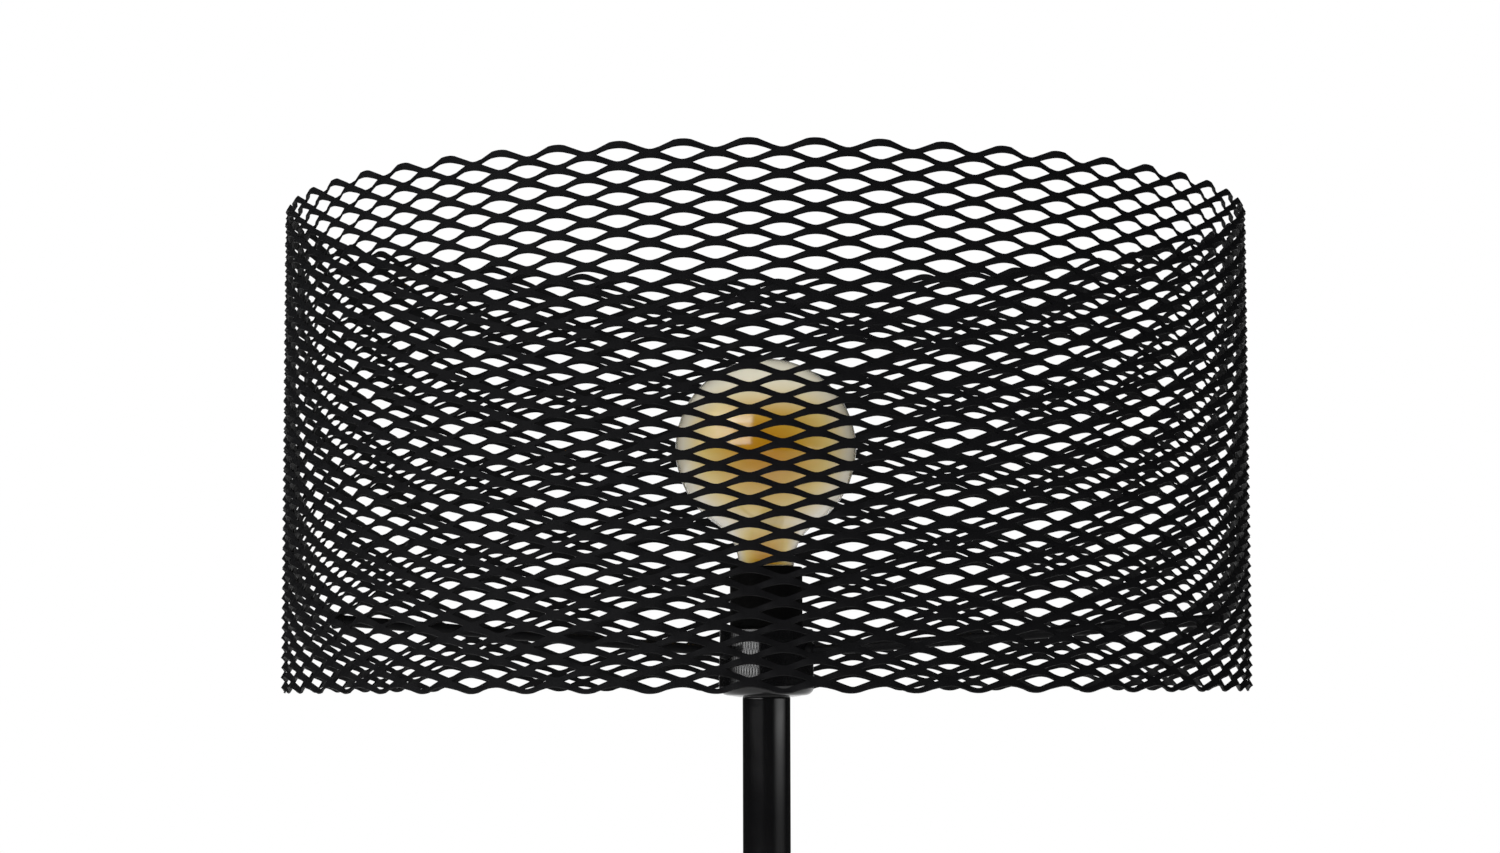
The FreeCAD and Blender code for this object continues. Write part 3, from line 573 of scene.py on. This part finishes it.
def cell_polygons(upper, lower):
    """Flat outline of one bond with the strands that leave it, as polygons of (x, z).

    The strands end half way to the next bond. A rim's bond lacks its upper or lower pair."""
    middle = HALF_PITCH / 2

    def top(x):
        return ROW_STEP + vee(x) if upper else crest(x)

    def bottom(x):
        return -ROW_STEP + arch(x) if lower else -crest(x)

    stations = [share * BOND_HALF for share in BOND_STATIONS]
    polygons = []
    for left, right in zip(stations, stations[1:]):
        outline = [(left, bottom(left)), (right, bottom(right)), (right, top(right)), (left, top(left))]
        if right == stations[-1]:
            outline.insert(2, (right, 0.0))
        if left == stations[0]:
            outline.append((left, 0.0))
        polygons.append(list(dict.fromkeys(outline)))
    for side in (-1, 1):
        strands = []
        if upper:
            strands.append([
                (BOND_HALF, 0.0),
                (middle, arch(middle - HALF_PITCH)),
                (middle, ROW_STEP + vee(middle)),
                (BOND_HALF, ROW_STEP + vee(BOND_HALF)),
            ])
        if lower:
            strands.append([
                (BOND_HALF, -ROW_STEP + arch(BOND_HALF)),
                (middle, -ROW_STEP + arch(middle)),
                (middle, vee(middle - HALF_PITCH)),
                (BOND_HALF, 0.0),
            ])
        for strand in strands:
            outline = [(side * x, z) for x, z in strand]
            polygons.append(outline if side > 0 else outline[::-1])
    return polygons


def zero_line(x, z):
    """Height at which the leaning strand crosses the middle of the sheet."""
    share = (abs(x) - BOND_HALF) / (HALF_PITCH - 2 * BOND_HALF)
    climb = ROW_STEP * min(1.0, max(0.0, share))
    return climb if z > 0 else -climb


def cell_mesh(name, upper=True, lower=True):
    """Solid cell of the expanded metal, flat in X and Z, its face towards -Y."""
    polygons = cell_polygons(upper, lower)
    keys = list(dict.fromkeys(point for polygon in polygons for point in polygon))
    index = {key: number for number, key in enumerate(keys)}
    lean = math.tan(STRAND_TILT)
    lift = math.sin(STRAND_TILT) * SHEET / 2
    push = math.cos(STRAND_TILT) * SHEET / 2
    front = []
    back = []
    for x, z in keys:
        depth = -lean * (z - zero_line(x, z))
        front.append((x, -(depth + push), z + lift))
        back.append((x, -(depth - push), z - lift))
    count = len(keys)
    loops = [[index[key] for key in polygon] for polygon in polygons]
    faces = loops + [[count + number for number in reversed(loop)] for loop in loops]
    sides = {(a, b) for loop in loops for a, b in zip(loop, loop[1:] + loop[:1])}
    middle = HALF_PITCH / 2
    for a, b in sorted(sides):
        at_cut = all(abs(abs(keys[key][0]) - middle) < SAME_PLACE for key in (a, b))
        if (b, a) not in sides and not at_cut:
            faces.append([b, a, count + a, count + b])
    mesh = bpy.data.meshes.new(name)
    mesh.from_pydata(front + back, [], faces)
    shape = bmesh.new()
    shape.from_mesh(mesh)
    for face in shape.faces:
        face.smooth = True
    for edge in shape.edges:
        flat = len(edge.link_faces) == 2 and edge.calc_face_angle(0.0) < SHARP_STRAND_EDGE
        edge.smooth = flat or len(edge.link_faces) == 1
    shape.to_mesh(mesh)
    shape.free()
    return mesh


# ---------------------------------------------------------------- shade node tree


class Tree:
    """Small builder for a geometry node tree with named inputs."""

    def __init__(self, name):
        self.group = bpy.data.node_groups.new(name, "GeometryNodeTree")
        self.sockets = {}
        self.group.interface.new_socket("Geometry", in_out="OUTPUT", socket_type="NodeSocketGeometry")
        self.entry = self.group.nodes.new("NodeGroupInput")
        self.exit = self.group.nodes.new("NodeGroupOutput")

    def input(self, name, kind):
        socket = self.group.interface.new_socket(name, in_out="INPUT", socket_type=kind)
        self.sockets[name] = socket.identifier
        return self.entry.outputs[name]

    def add(self, kind, links=(), **settings):
        """New node with settings; links is a list of (input index or name, value or output)."""
        node = self.group.nodes.new(kind)
        for key, value in settings.items():
            setattr(node, key, value)
        for key, value in links:
            if isinstance(value, bpy.types.NodeSocket):
                self.group.links.new(value, node.inputs[key])
            else:
                node.inputs[key].default_value = value
        return node

    def math(self, operation, first, second=0.0):
        return self.add("ShaderNodeMath", [(0, first), (1, second)], operation=operation).outputs[0]


def cell_rings(tree, cell, levels, first_level, inputs):
    """Instances of a cell on rings of bonds, laid out flat: X along the row, Z up."""
    columns, half_pitch, row_step, base = inputs
    index = tree.add("GeometryNodeInputIndex").outputs[0]
    column = tree.math("FLOORED_MODULO", index, columns)
    level = tree.math("ADD", tree.math("FLOOR", tree.math("DIVIDE", index, columns)), first_level)
    stagger = tree.math("FLOORED_MODULO", level, 2.0)
    halves = tree.math("ADD", tree.math("MULTIPLY", column, 2.0), stagger)
    across = tree.math("MULTIPLY", halves, half_pitch)
    up = tree.math("ADD", tree.math("MULTIPLY", level, row_step), base)
    position = tree.add("ShaderNodeCombineXYZ", [("X", across), ("Z", up)]).outputs[0]
    count = tree.math("MULTIPLY", levels, columns)
    points = tree.add("GeometryNodePoints", [("Count", count), ("Position", position)]).outputs[0]
    shape = tree.add("GeometryNodeObjectInfo", [("Object", cell)]).outputs["Geometry"]
    return tree.add("GeometryNodeInstanceOnPoints", [("Points", points), ("Instance", shape)]).outputs[0]


def shade_tree():
    """Rings of cells, realised, rolled into a drum and welded."""
    tree = Tree("expanded_metal_drum")
    cell = tree.input("Cell", "NodeSocketObject")
    top_cell = tree.input("Top Rim Cell", "NodeSocketObject")
    foot_cell = tree.input("Bottom Rim Cell", "NodeSocketObject")
    columns = tree.input("Columns", "NodeSocketInt")
    rows = tree.input("Rows", "NodeSocketInt")
    half_pitch = tree.input("Half Pitch", "NodeSocketFloat")
    row_step = tree.input("Row Step", "NodeSocketFloat")
    base = tree.input("First Row Height", "NodeSocketFloat")
    radius = tree.input("Radius", "NodeSocketFloat")
    turn = tree.input("Turn", "NodeSocketFloat")
    finish = tree.input("Finish", "NodeSocketMaterial")
    inputs = (columns, half_pitch, row_step, base)
    body = cell_rings(tree, cell, rows, 0.0, inputs)
    top = cell_rings(tree, top_cell, 1.0, rows, inputs)
    foot = cell_rings(tree, foot_cell, 1.0, -1.0, inputs)
    flat = tree.add("GeometryNodeJoinGeometry")
    for part in (body, top, foot):
        tree.group.links.new(part, flat.inputs[0])
    real = tree.add("GeometryNodeRealizeInstances", [("Geometry", flat.outputs[0])]).outputs[0]
    place_now = tree.add("GeometryNodeInputPosition").outputs[0]
    parts = tree.add("ShaderNodeSeparateXYZ", [(0, place_now)]).outputs
    angle = tree.math("ADD", tree.math("DIVIDE", parts["X"], radius), turn)
    reach = tree.math("SUBTRACT", radius, parts["Y"])
    across = tree.math("MULTIPLY", reach, tree.math("SINE", angle))
    forward = tree.math("MULTIPLY", tree.math("MULTIPLY", reach, tree.math("COSINE", angle)), -1.0)
    rolled = tree.add(
        "ShaderNodeCombineXYZ", [("X", across), ("Y", forward), ("Z", parts["Z"])]
    ).outputs[0]
    drum = tree.add("GeometryNodeSetPosition", [("Geometry", real), ("Position", rolled)]).outputs[0]
    welded = tree.add(
        "GeometryNodeMergeByDistance", [("Geometry", drum), ("Distance", CELL_WELD)]
    ).outputs[0]
    painted = tree.add(
        "GeometryNodeSetMaterial", [("Geometry", welded), ("Material", finish)]
    ).outputs[0]
    tree.group.links.new(painted, tree.exit.inputs[0])
    return tree


def baked(name, tree, values):
    """Plain mesh from a node tree with the given input values."""
    carrier = bpy.data.objects.new(name + "_carrier", bpy.data.meshes.new(name + "_carrier"))
    bpy.context.scene.collection.objects.link(carrier)
    modifier = carrier.modifiers.new("build", "NODES")
    modifier.node_group = tree.group
    for key, value in values.items():
        modifier[tree.sockets[key]] = value
    graph = bpy.context.evaluated_depsgraph_get()
    mesh = bpy.data.meshes.new_from_object(carrier.evaluated_get(graph), depsgraph=graph)
    mesh.name = name
    carrier.modifiers.clear()
    bpy.data.objects.remove(carrier)
    return mesh


def make_shade():
    cells = {
        "Cell": cell_mesh("mesh_cell"),
        "Top Rim Cell": cell_mesh("mesh_cell_top", upper=False),
        "Bottom Rim Cell": cell_mesh("mesh_cell_bottom", lower=False),
    }
    values = {
        "Columns": COLUMNS,
        "Rows": ROWS,
        "Half Pitch": HALF_PITCH,
        "Row Step": ROW_STEP,
        "First Row Height": RIM_HEIGHT + RIM_TO_HOLE,
        "Radius": MID_RADIUS,
        "Turn": PATTERN_TURN,
        "Finish": powder,
    }
    scratch = []
    for key, mesh in cells.items():
        obj = bpy.data.objects.new(mesh.name, mesh)
        bpy.context.scene.collection.objects.link(obj)
        values[key] = obj
        scratch.append(obj)
    mesh = baked("shade_mesh_sheet", shade_tree(), values)
    for obj in scratch:
        bpy.data.objects.remove(obj)
    shade = add_object("shade_mesh_sheet", mesh, powder)
    place(shade, "lamp", "black_matt", "shade_mesh")


# ---------------------------------------------------------------- hub and arms

CUP_WALL = 1.5 * MM
CUP_FLAT = 14.0 * MM
CUP_DISH_RISE = 1.6 * MM
CUP_TAPER = 0.7 * MM               # how much narrower the drawn cup is at its mouth
CUP_FLOOR_BEND = 4.0 * MM
CUP_CORNER = 4.6 * MM
CUP_INNER_CORNER = 3.2 * MM
CUP_LIP = 0.5 * MM
THREAD_FIT = 0.05 * MM             # room in radius between a hole and the nipple in it
ARM_COUNT = 3
ARM_RADIUS = 2.75 * MM
ARM_FIRST_AZIMUTH = math.radians(93)
ARM_HUB_HEIGHT = 21.0 * MM
ARM_SHADE_HEIGHT = 35.5 * MM
WELD_LENGTH = 4.0 * MM
WELD_SIZE = 1.4 * MM


def make_hub_cup():
    radius = high("hub_cup").x
    bottom = low("hub_cup").z
    top = high("hub_cup").z
    hole = high("head_nipple").x + THREAD_FIT
    floor = bottom + CUP_WALL
    inner = radius - CUP_WALL
    profile = rounded([
        (hole, bottom, 0),
        (CUP_FLAT, bottom, CUP_FLOOR_BEND),
        (radius, bottom + CUP_DISH_RISE, CUP_CORNER),
        (radius - CUP_TAPER, top, CUP_LIP),
        (inner - CUP_TAPER, top, CUP_LIP),
        (inner, floor + CUP_DISH_RISE, CUP_INNER_CORNER),
        (CUP_FLAT, floor, CUP_FLOOR_BEND),
        (hole, floor, 0),
    ])
    cup = add_object("hub_cup_shell", lathe("hub_cup_shell", profile), lacquer)
    place(cup, "lamp", "black_gloss", "hub_cup")


def arm_ends(index):
    """Centre-line ends of one arm, on the cup's wall and on the drum's inner side."""
    azimuth = ARM_FIRST_AZIMUTH + 2 * math.pi * index / ARM_COUNT
    outward = Vector((math.cos(azimuth), math.sin(azimuth), 0.0))
    inner = outward * (high("hub_cup").x - CUP_WALL / 2)
    outer = outward * (MID_RADIUS - SHEET / 2)
    inner.z = RIM_HEIGHT + ARM_HUB_HEIGHT
    outer.z = RIM_HEIGHT + ARM_SHADE_HEIGHT
    return inner, outer


def make_arms():
    shapes = []
    for index in range(ARM_COUNT):
        inner, outer = arm_ends(index)
        along = (outer - inner).normalized()
        shapes.append(rod(inner, outer, ARM_RADIUS))
        shapes.append(bead(inner, inner + along * WELD_LENGTH, ARM_RADIUS, WELD_SIZE))
        shapes.append(bead(outer, outer - along * WELD_LENGTH, ARM_RADIUS, WELD_SIZE))
    arms = add_object("spider_arm_bars", joined("spider_arm_bars", shapes), powder)
    place(arms, "lamp", "black_matt", "spider_arms")


# ---------------------------------------------------------------- pole and base

TUBE_WALL = 1.5 * MM
TUBE_EDGE = 0.5 * MM
COVER_WALL = 1.2 * MM
COVER_CORNER = 5.0 * MM
COVER_INNER_CORNER = 3.8 * MM
COVER_RIM = 0.4 * MM
COVER_SIDES = 192
COLLAR_FIT = 0.1 * MM              # room in radius between the collar and the tube
COLLAR_FOOT = 0.3 * MM
COLLAR_SHOULDER = 7.0 * MM
COLLAR_MOUTH = 0.4 * MM


def make_pole():
    for name in ("lower_tube", "middle_tube", "upper_tube"):
        bottom = low(name).z
        top = high(name).z
        bore = TUBE_RADIUS - TUBE_WALL
        profile = rounded([
            (bore, bottom, 0),
            (TUBE_RADIUS, bottom, TUBE_EDGE),
            (TUBE_RADIUS, top, TUBE_EDGE),
            (bore, top, 0),
        ])
        tube = add_object(name + "_skin", lathe(name + "_skin", profile), lacquer)
        place(tube, "lamp", "black_gloss", name)


def make_base():
    radius = high("base_cover").x
    bottom = low("base_cover").z
    top = high("base_cover").z
    hole = high("base_nipple").x + THREAD_FIT
    inner = radius - COVER_WALL
    under = top - COVER_WALL
    profile = rounded([
        (hole, top, 0),
        (radius, top, COVER_CORNER),
        (radius, bottom, COVER_RIM),
        (inner, bottom, COVER_RIM),
        (inner, under, COVER_INNER_CORNER),
        (hole, under, 0),
    ])
    cover = add_object("base_cover_pressing", lathe("base_cover_pressing", profile, COVER_SIDES), lacquer)
    place(cover, "lamp", "black_gloss", "base_cover")

    bore = TUBE_RADIUS + COLLAR_FIT
    foot = low("foot_collar").z
    head = high("foot_collar").z
    outer = high("foot_collar").x
    profile = rounded([
        (bore, foot, 0),
        (outer, foot, COLLAR_FOOT),
        (outer, head, COLLAR_SHOULDER),
        (bore, head, COLLAR_MOUTH),
    ])
    collar = add_object("foot_collar_ring", lathe("foot_collar_ring", profile), lacquer)
    place(collar, "lamp", "black_gloss", "foot_collar")


# ---------------------------------------------------------------- lampholder

MOUTH_RADIUS = 15.2 * MM
MOUTH_DEPTH = 3.0 * MM
HOLDER_WALL = 2.0 * MM
SKIRT_FOOT = 0.4 * MM
SKIRT_SHOULDER = 0.9 * MM
MOUTH_EDGE = 0.7 * MM
MOUTH_UNDER_EDGE = 0.3 * MM


def make_holder():
    radius = high("holder_skirt").x
    bottom = low("holder_skirt").z
    top = high("holder_skirt").z
    bore = radius - HOLDER_WALL
    profile = rounded([
        (bore, bottom, 0),
        (radius, bottom, SKIRT_FOOT),
        (radius, top, SKIRT_SHOULDER),
        (MOUTH_RADIUS, top, MOUTH_EDGE),
        (MOUTH_RADIUS, top - MOUTH_DEPTH, MOUTH_UNDER_EDGE),
        (bore, top - MOUTH_DEPTH, 0),
    ])
    skirt = add_object("holder_skirt_sleeve", lathe("holder_skirt_sleeve", profile), plastic)
    place(skirt, "lamp", "holder_black", "holder_skirt")


# ---------------------------------------------------------------- bulb

GLASS_WALL = 0.8 * MM
GLOBE_RADIUS = 47.5 * MM
NECK_RADIUS = 14.6 * MM
CAP_RADIUS = 13.2 * MM
CAP_TOP = 26.4 * MM
NECK_STRAIGHT = 1.1 * MM
NECK_BLEND_DROP = GLOBE_TOP - GLOBE_RADIUS - TIP_HEIGHT - CAP_TOP - NECK_STRAIGHT
CAP_BOTTOM = 5.4 * MM
THREAD_DEPTH = 0.7 * MM
THREAD_PITCH = 3.62 * MM
THREAD_TOP = 19.9 * MM
CAP_SHEET = 0.3 * MM
NECK_FOOT = 9.0 * MM
NECK_STEP = 1.6 * MM
GLOBE_STEPS = 48
BLEND_STEPS = 16
CAP_SIDES = 96
CAP_ROWS = 72
RIDGE_POWER = 0.8                  # below 1 makes the crest of the thread broader
CAP_FLARE = 1.0 * MM               # height over which the cap widens above its thread


def globe_curve(offset):
    """Globe, hollow neck blend and neck as (radius, height) points, from the crown down."""
    radius = GLOBE_RADIUS - offset
    neck = NECK_RADIUS - offset
    drop = NECK_BLEND_DROP
    centre_height = GLOBE_TOP - GLOBE_RADIUS
    blend = (radius ** 2 - neck ** 2 - drop ** 2) / (2 * (neck - radius))
    middle = Vector((neck + blend, -drop))
    joint = middle * (radius / (radius + blend))
    low_angle = math.atan2(joint.y, joint.x)
    points = []
    for step in range(GLOBE_STEPS + 1):
        angle = math.pi / 2 + (low_angle - math.pi / 2) * step / GLOBE_STEPS
        points.append((max(0.0, radius * math.cos(angle)), radius * math.sin(angle) + centre_height))
    start = math.atan2(joint.y - middle.y, joint.x - middle.x)
    if start < 0:
        start += 2 * math.pi
    for step in range(1, BLEND_STEPS + 1):
        angle = start + (math.pi - start) * step / BLEND_STEPS
        height = middle.y + blend * math.sin(angle) + centre_height
        points.append((middle.x + blend * math.cos(angle), height))
    return points


def make_globe():
    foot_radius = CAP_RADIUS - THREAD_DEPTH - CAP_SHEET
    step_top = TIP_HEIGHT + CAP_TOP
    profile = globe_curve(0.0)
    profile.append((NECK_RADIUS, step_top))
    profile.append((foot_radius, step_top - NECK_STEP))
    profile.append((foot_radius, TIP_HEIGHT + NECK_FOOT))
    inner = globe_curve(GLASS_WALL)
    inner.append((NECK_RADIUS - GLASS_WALL, step_top))
    inner.append((foot_radius - GLASS_WALL, step_top - NECK_STEP))
    inner.append((foot_radius - GLASS_WALL, TIP_HEIGHT + NECK_FOOT))
    mesh = lathe("bulb_globe", profile + inner[::-1], closed=False)
    globe = add_object("bulb_globe", mesh, globe_glass)
    place(globe, "bulb", "amber_glass", "bulb_glass")


def make_cap():
    """Screw cap: a sleeve whose wall carries a real helical ridge."""
    bottom = TIP_HEIGHT + CAP_BOTTOM
    top = TIP_HEIGHT + CAP_TOP - NECK_STEP
    thread_end = THREAD_TOP - CAP_BOTTOM
    points = []
    for row in range(CAP_ROWS + 1):
        height = bottom + (top - bottom) * row / CAP_ROWS
        rise = height - bottom
        fade = min(1.0, rise / THREAD_PITCH) * min(1.0, max(0.0, (thread_end - rise) / THREAD_PITCH))
        for step in range(CAP_SIDES):
            turn = step / CAP_SIDES
            wave = 0.5 - 0.5 * math.cos(2 * math.pi * (rise / THREAD_PITCH - turn))
            radius = CAP_RADIUS - THREAD_DEPTH + THREAD_DEPTH * wave ** RIDGE_POWER * fade
            if rise > thread_end:
                share = min(1.0, (rise - thread_end) / CAP_FLARE)
                radius = CAP_RADIUS - THREAD_DEPTH * (1 - share)
            angle = 2 * math.pi * turn
            points.append((radius * math.cos(angle), radius * math.sin(angle), height))
    inner = CAP_RADIUS - THREAD_DEPTH - CAP_SHEET
    for height in (top, bottom):
        for step in range(CAP_SIDES):
            angle = 2 * math.pi * step / CAP_SIDES
            points.append((inner * math.cos(angle), inner * math.sin(angle), height))
    faces = tube_faces(CAP_ROWS + 3, CAP_SIDES, closed=True)
    cap = add_object("bulb_screw_cap", mesh_from("bulb_screw_cap", points, faces), nickel)
    place(cap, "bulb", "nickel", "bulb_cap")


# ---------------------------------------------------------------- surroundings

FLOOR_RADIUS = 14.0
FLOOR_SIDES = 96
FLOOR_COLOUR = (0.86, 0.86, 0.86)
FLOOR_FADE = (1.2, 5.0)            # metres from the pole: floor colour, then white

ROOM_LIGHT = 0.60
FRONT_GLOW = 0.03
BACK_RISE = (0.96, 1.0)            # share of the way to the back where the room turns white

# soft panels: azimuth edges in radians from the front towards +X, each edge with its full
# point, then the same for the height of the direction, then the strength. The first lights the
# cup from the left, the other two the tube from the right, bright near the shade and dim below.
PANELS = (
    (-1.8, -1.0, -0.42, -0.26, 0.022, 0.038, 0.30, 0.8, 8.0),
    (0.50, 1.05, 1.2, 1.9, -0.022, -0.003, -0.001, 0.003, 4.5),
    (0.50, 1.05, 1.2, 1.9, -0.10, -0.01, -0.001, 0.003, 0.5),
)

# soft lamps: name, direction of the light, strength, softness in degrees. The front one makes
# up for the light that the drum takes from the bulb, which is about half.
LAMPS = (
    ("left_softbox", (0.62, 0.50, -0.60), 1.1, 35),
    ("right_softbox", (-0.75, 0.45, -0.35), 0.45, 60),
    ("front_softbox", (0.12, 1.0, -0.18), 3.2, 30),
)


def make_floor():
    """Pale floor that holds the shadow and goes over into the white of the room."""
    mesh = bpy.data.meshes.new("floor")
    ring = []
    for step in range(FLOOR_SIDES):
        angle = 2 * math.pi * step / FLOOR_SIDES
        ring.append((FLOOR_RADIUS * math.cos(angle), FLOOR_RADIUS * math.sin(angle), 0.0))
    mesh.from_pydata(ring, [], [list(range(FLOOR_SIDES))])
    finish = Finish("pale_floor", FLOOR_COLOUR, 0.8)
    distance = finish.add("ShaderNodeVectorMath", operation="LENGTH")
    finish.link(finish.place, distance.inputs[0])
    fade = finish.faded(distance.outputs["Value"], *FLOOR_FADE)
    path = finish.add("ShaderNodeLightPath").outputs
    seen = finish.add("ShaderNodeMath", operation="MAXIMUM")
    finish.link(path["Is Camera Ray"], seen.inputs[0])
    finish.link(path["Is Transmission Ray"], seen.inputs[1])
    share = finish.add("ShaderNodeMath", operation="MULTIPLY")
    finish.link(fade, share.inputs[0])
    finish.link(seen.outputs[0], share.inputs[1])
    mix = finish.add("ShaderNodeMixShader")
    finish.link(share.outputs[0], mix.inputs[0])
    finish.link(finish.shader.outputs[0], mix.inputs[1])
    finish.link(finish.add("ShaderNodeEmission").outputs[0], mix.inputs[2])
    finish.link(mix.outputs[0], finish.tree.nodes["Material Output"].inputs["Surface"])
    add_object("floor", mesh, finish.material)


def make_world():
    """White to the eye and through glass, and even light on everything. Reflections show a dim
    room, white only straight behind the lamp, with soft panels in it."""
    world = bpy.data.worlds.new("studio")
    bpy.context.scene.world = world
    world.use_nodes = True
    tree = world.node_tree
    tree.nodes.clear()

    def add(kind, **settings):
        node = tree.nodes.new(kind)
        for key, value in settings.items():
            setattr(node, key, value)
        return node

    def maths(operation, first, second):
        node = add("ShaderNodeMath", operation=operation)
        for socket, value in zip(node.inputs, (first, second)):
            if isinstance(value, bpy.types.NodeSocket):
                tree.links.new(value, socket)
            else:
                socket.default_value = value
        return node.outputs[0]

    def ramp(value, start, end):
        """0 at start, 1 at end, smooth between them."""
        node = add("ShaderNodeMapRange", interpolation_type="SMOOTHSTEP")
        node.inputs["From Min"].default_value = start
        node.inputs["From Max"].default_value = end
        tree.links.new(value, node.inputs["Value"])
        return node.outputs["Result"]

    def background(source, strength):
        node = add("ShaderNodeBackground")
        node.inputs["Strength"].default_value = strength
        if source is not None:
            tree.links.new(source, node.inputs["Color"])
        else:
            node.inputs["Color"].default_value = (1, 1, 1, 1)
        return node.outputs[0]

    direction = add("ShaderNodeSeparateXYZ")
    tree.links.new(add("ShaderNodeTexCoord").outputs["Generated"], direction.inputs[0])
    across, depth, up = direction.outputs
    azimuth = maths("ARCTAN2", across, maths("MULTIPLY", depth, -1.0))
    light = maths("ADD", maths("MULTIPLY", ramp(depth, *BACK_RISE), 1.0 - FRONT_GLOW), FRONT_GLOW)
    for start, full, end, gone, foot, foot_full, head_full, head, strength in PANELS:
        sides = maths("MULTIPLY", ramp(azimuth, start, full), ramp(azimuth, gone, end))
        heights = maths("MULTIPLY", ramp(up, foot, foot_full), ramp(up, head, head_full))
        panel = maths("MULTIPLY", maths("MULTIPLY", sides, heights), strength)
        light = maths("ADD", light, panel)
    path = add("ShaderNodeLightPath").outputs
    output = add("ShaderNodeOutputWorld")
    seen = maths("MAXIMUM", path["Is Camera Ray"], path["Is Transmission Ray"])
    first = add("ShaderNodeMixShader")
    tree.links.new(path["Is Glossy Ray"], first.inputs[0])
    tree.links.new(background(None, ROOM_LIGHT), first.inputs[1])
    tree.links.new(background(light, 1.0), first.inputs[2])
    second = add("ShaderNodeMixShader")
    tree.links.new(seen, second.inputs[0])
    tree.links.new(first.outputs[0], second.inputs[1])
    tree.links.new(background(None, 1.0), second.inputs[2])
    tree.links.new(second.outputs[0], output.inputs["Surface"])


def make_lights():
    """Distant soft lamps. They leave reflections to the world."""
    for name, direction, strength, softness in LAMPS:
        data = bpy.data.lights.new(name, "SUN")
        data.energy = strength
        data.angle = math.radians(softness)
        obj = bpy.data.objects.new(name, data)
        bpy.context.scene.collection.objects.link(obj)
        obj.rotation_mode = "QUATERNION"
        obj.rotation_quaternion = Vector(direction).to_track_quat("-Z", "Y")
        obj.visible_camera = False
        obj.visible_glossy = False
        obj.visible_transmission = False


def make_camera():
    """Camera without shift, turned by the small pitch and roll that fit the photo."""
    data = bpy.data.cameras.new("camera")
    data.sensor_width = SENSOR_WIDTH
    data.lens = FOCAL_PIXELS / PHOTO_WIDTH * SENSOR_WIDTH
    data.clip_end = CAMERA_REACH
    obj = bpy.data.objects.new("camera", data)
    bpy.context.scene.collection.objects.link(obj)
    obj.location = (-CAMERA_LEFT, -CAMERA_DISTANCE, RIM_HEIGHT + CAMERA_ABOVE_RIM)
    obj.rotation_euler = (math.pi / 2 + CAMERA_PITCH, CAMERA_ROLL, 0.0)
    bpy.context.scene.camera = obj


# ---------------------------------------------------------------- assembly

bpy.context.scene.view_settings.view_transform = "Standard"
make_camera()
dress_frame_nodes()
make_shade()
make_hub_cup()
make_arms()
make_pole()
make_base()
make_holder()
make_globe()
make_cap()
make_floor()
make_world()
make_lights()
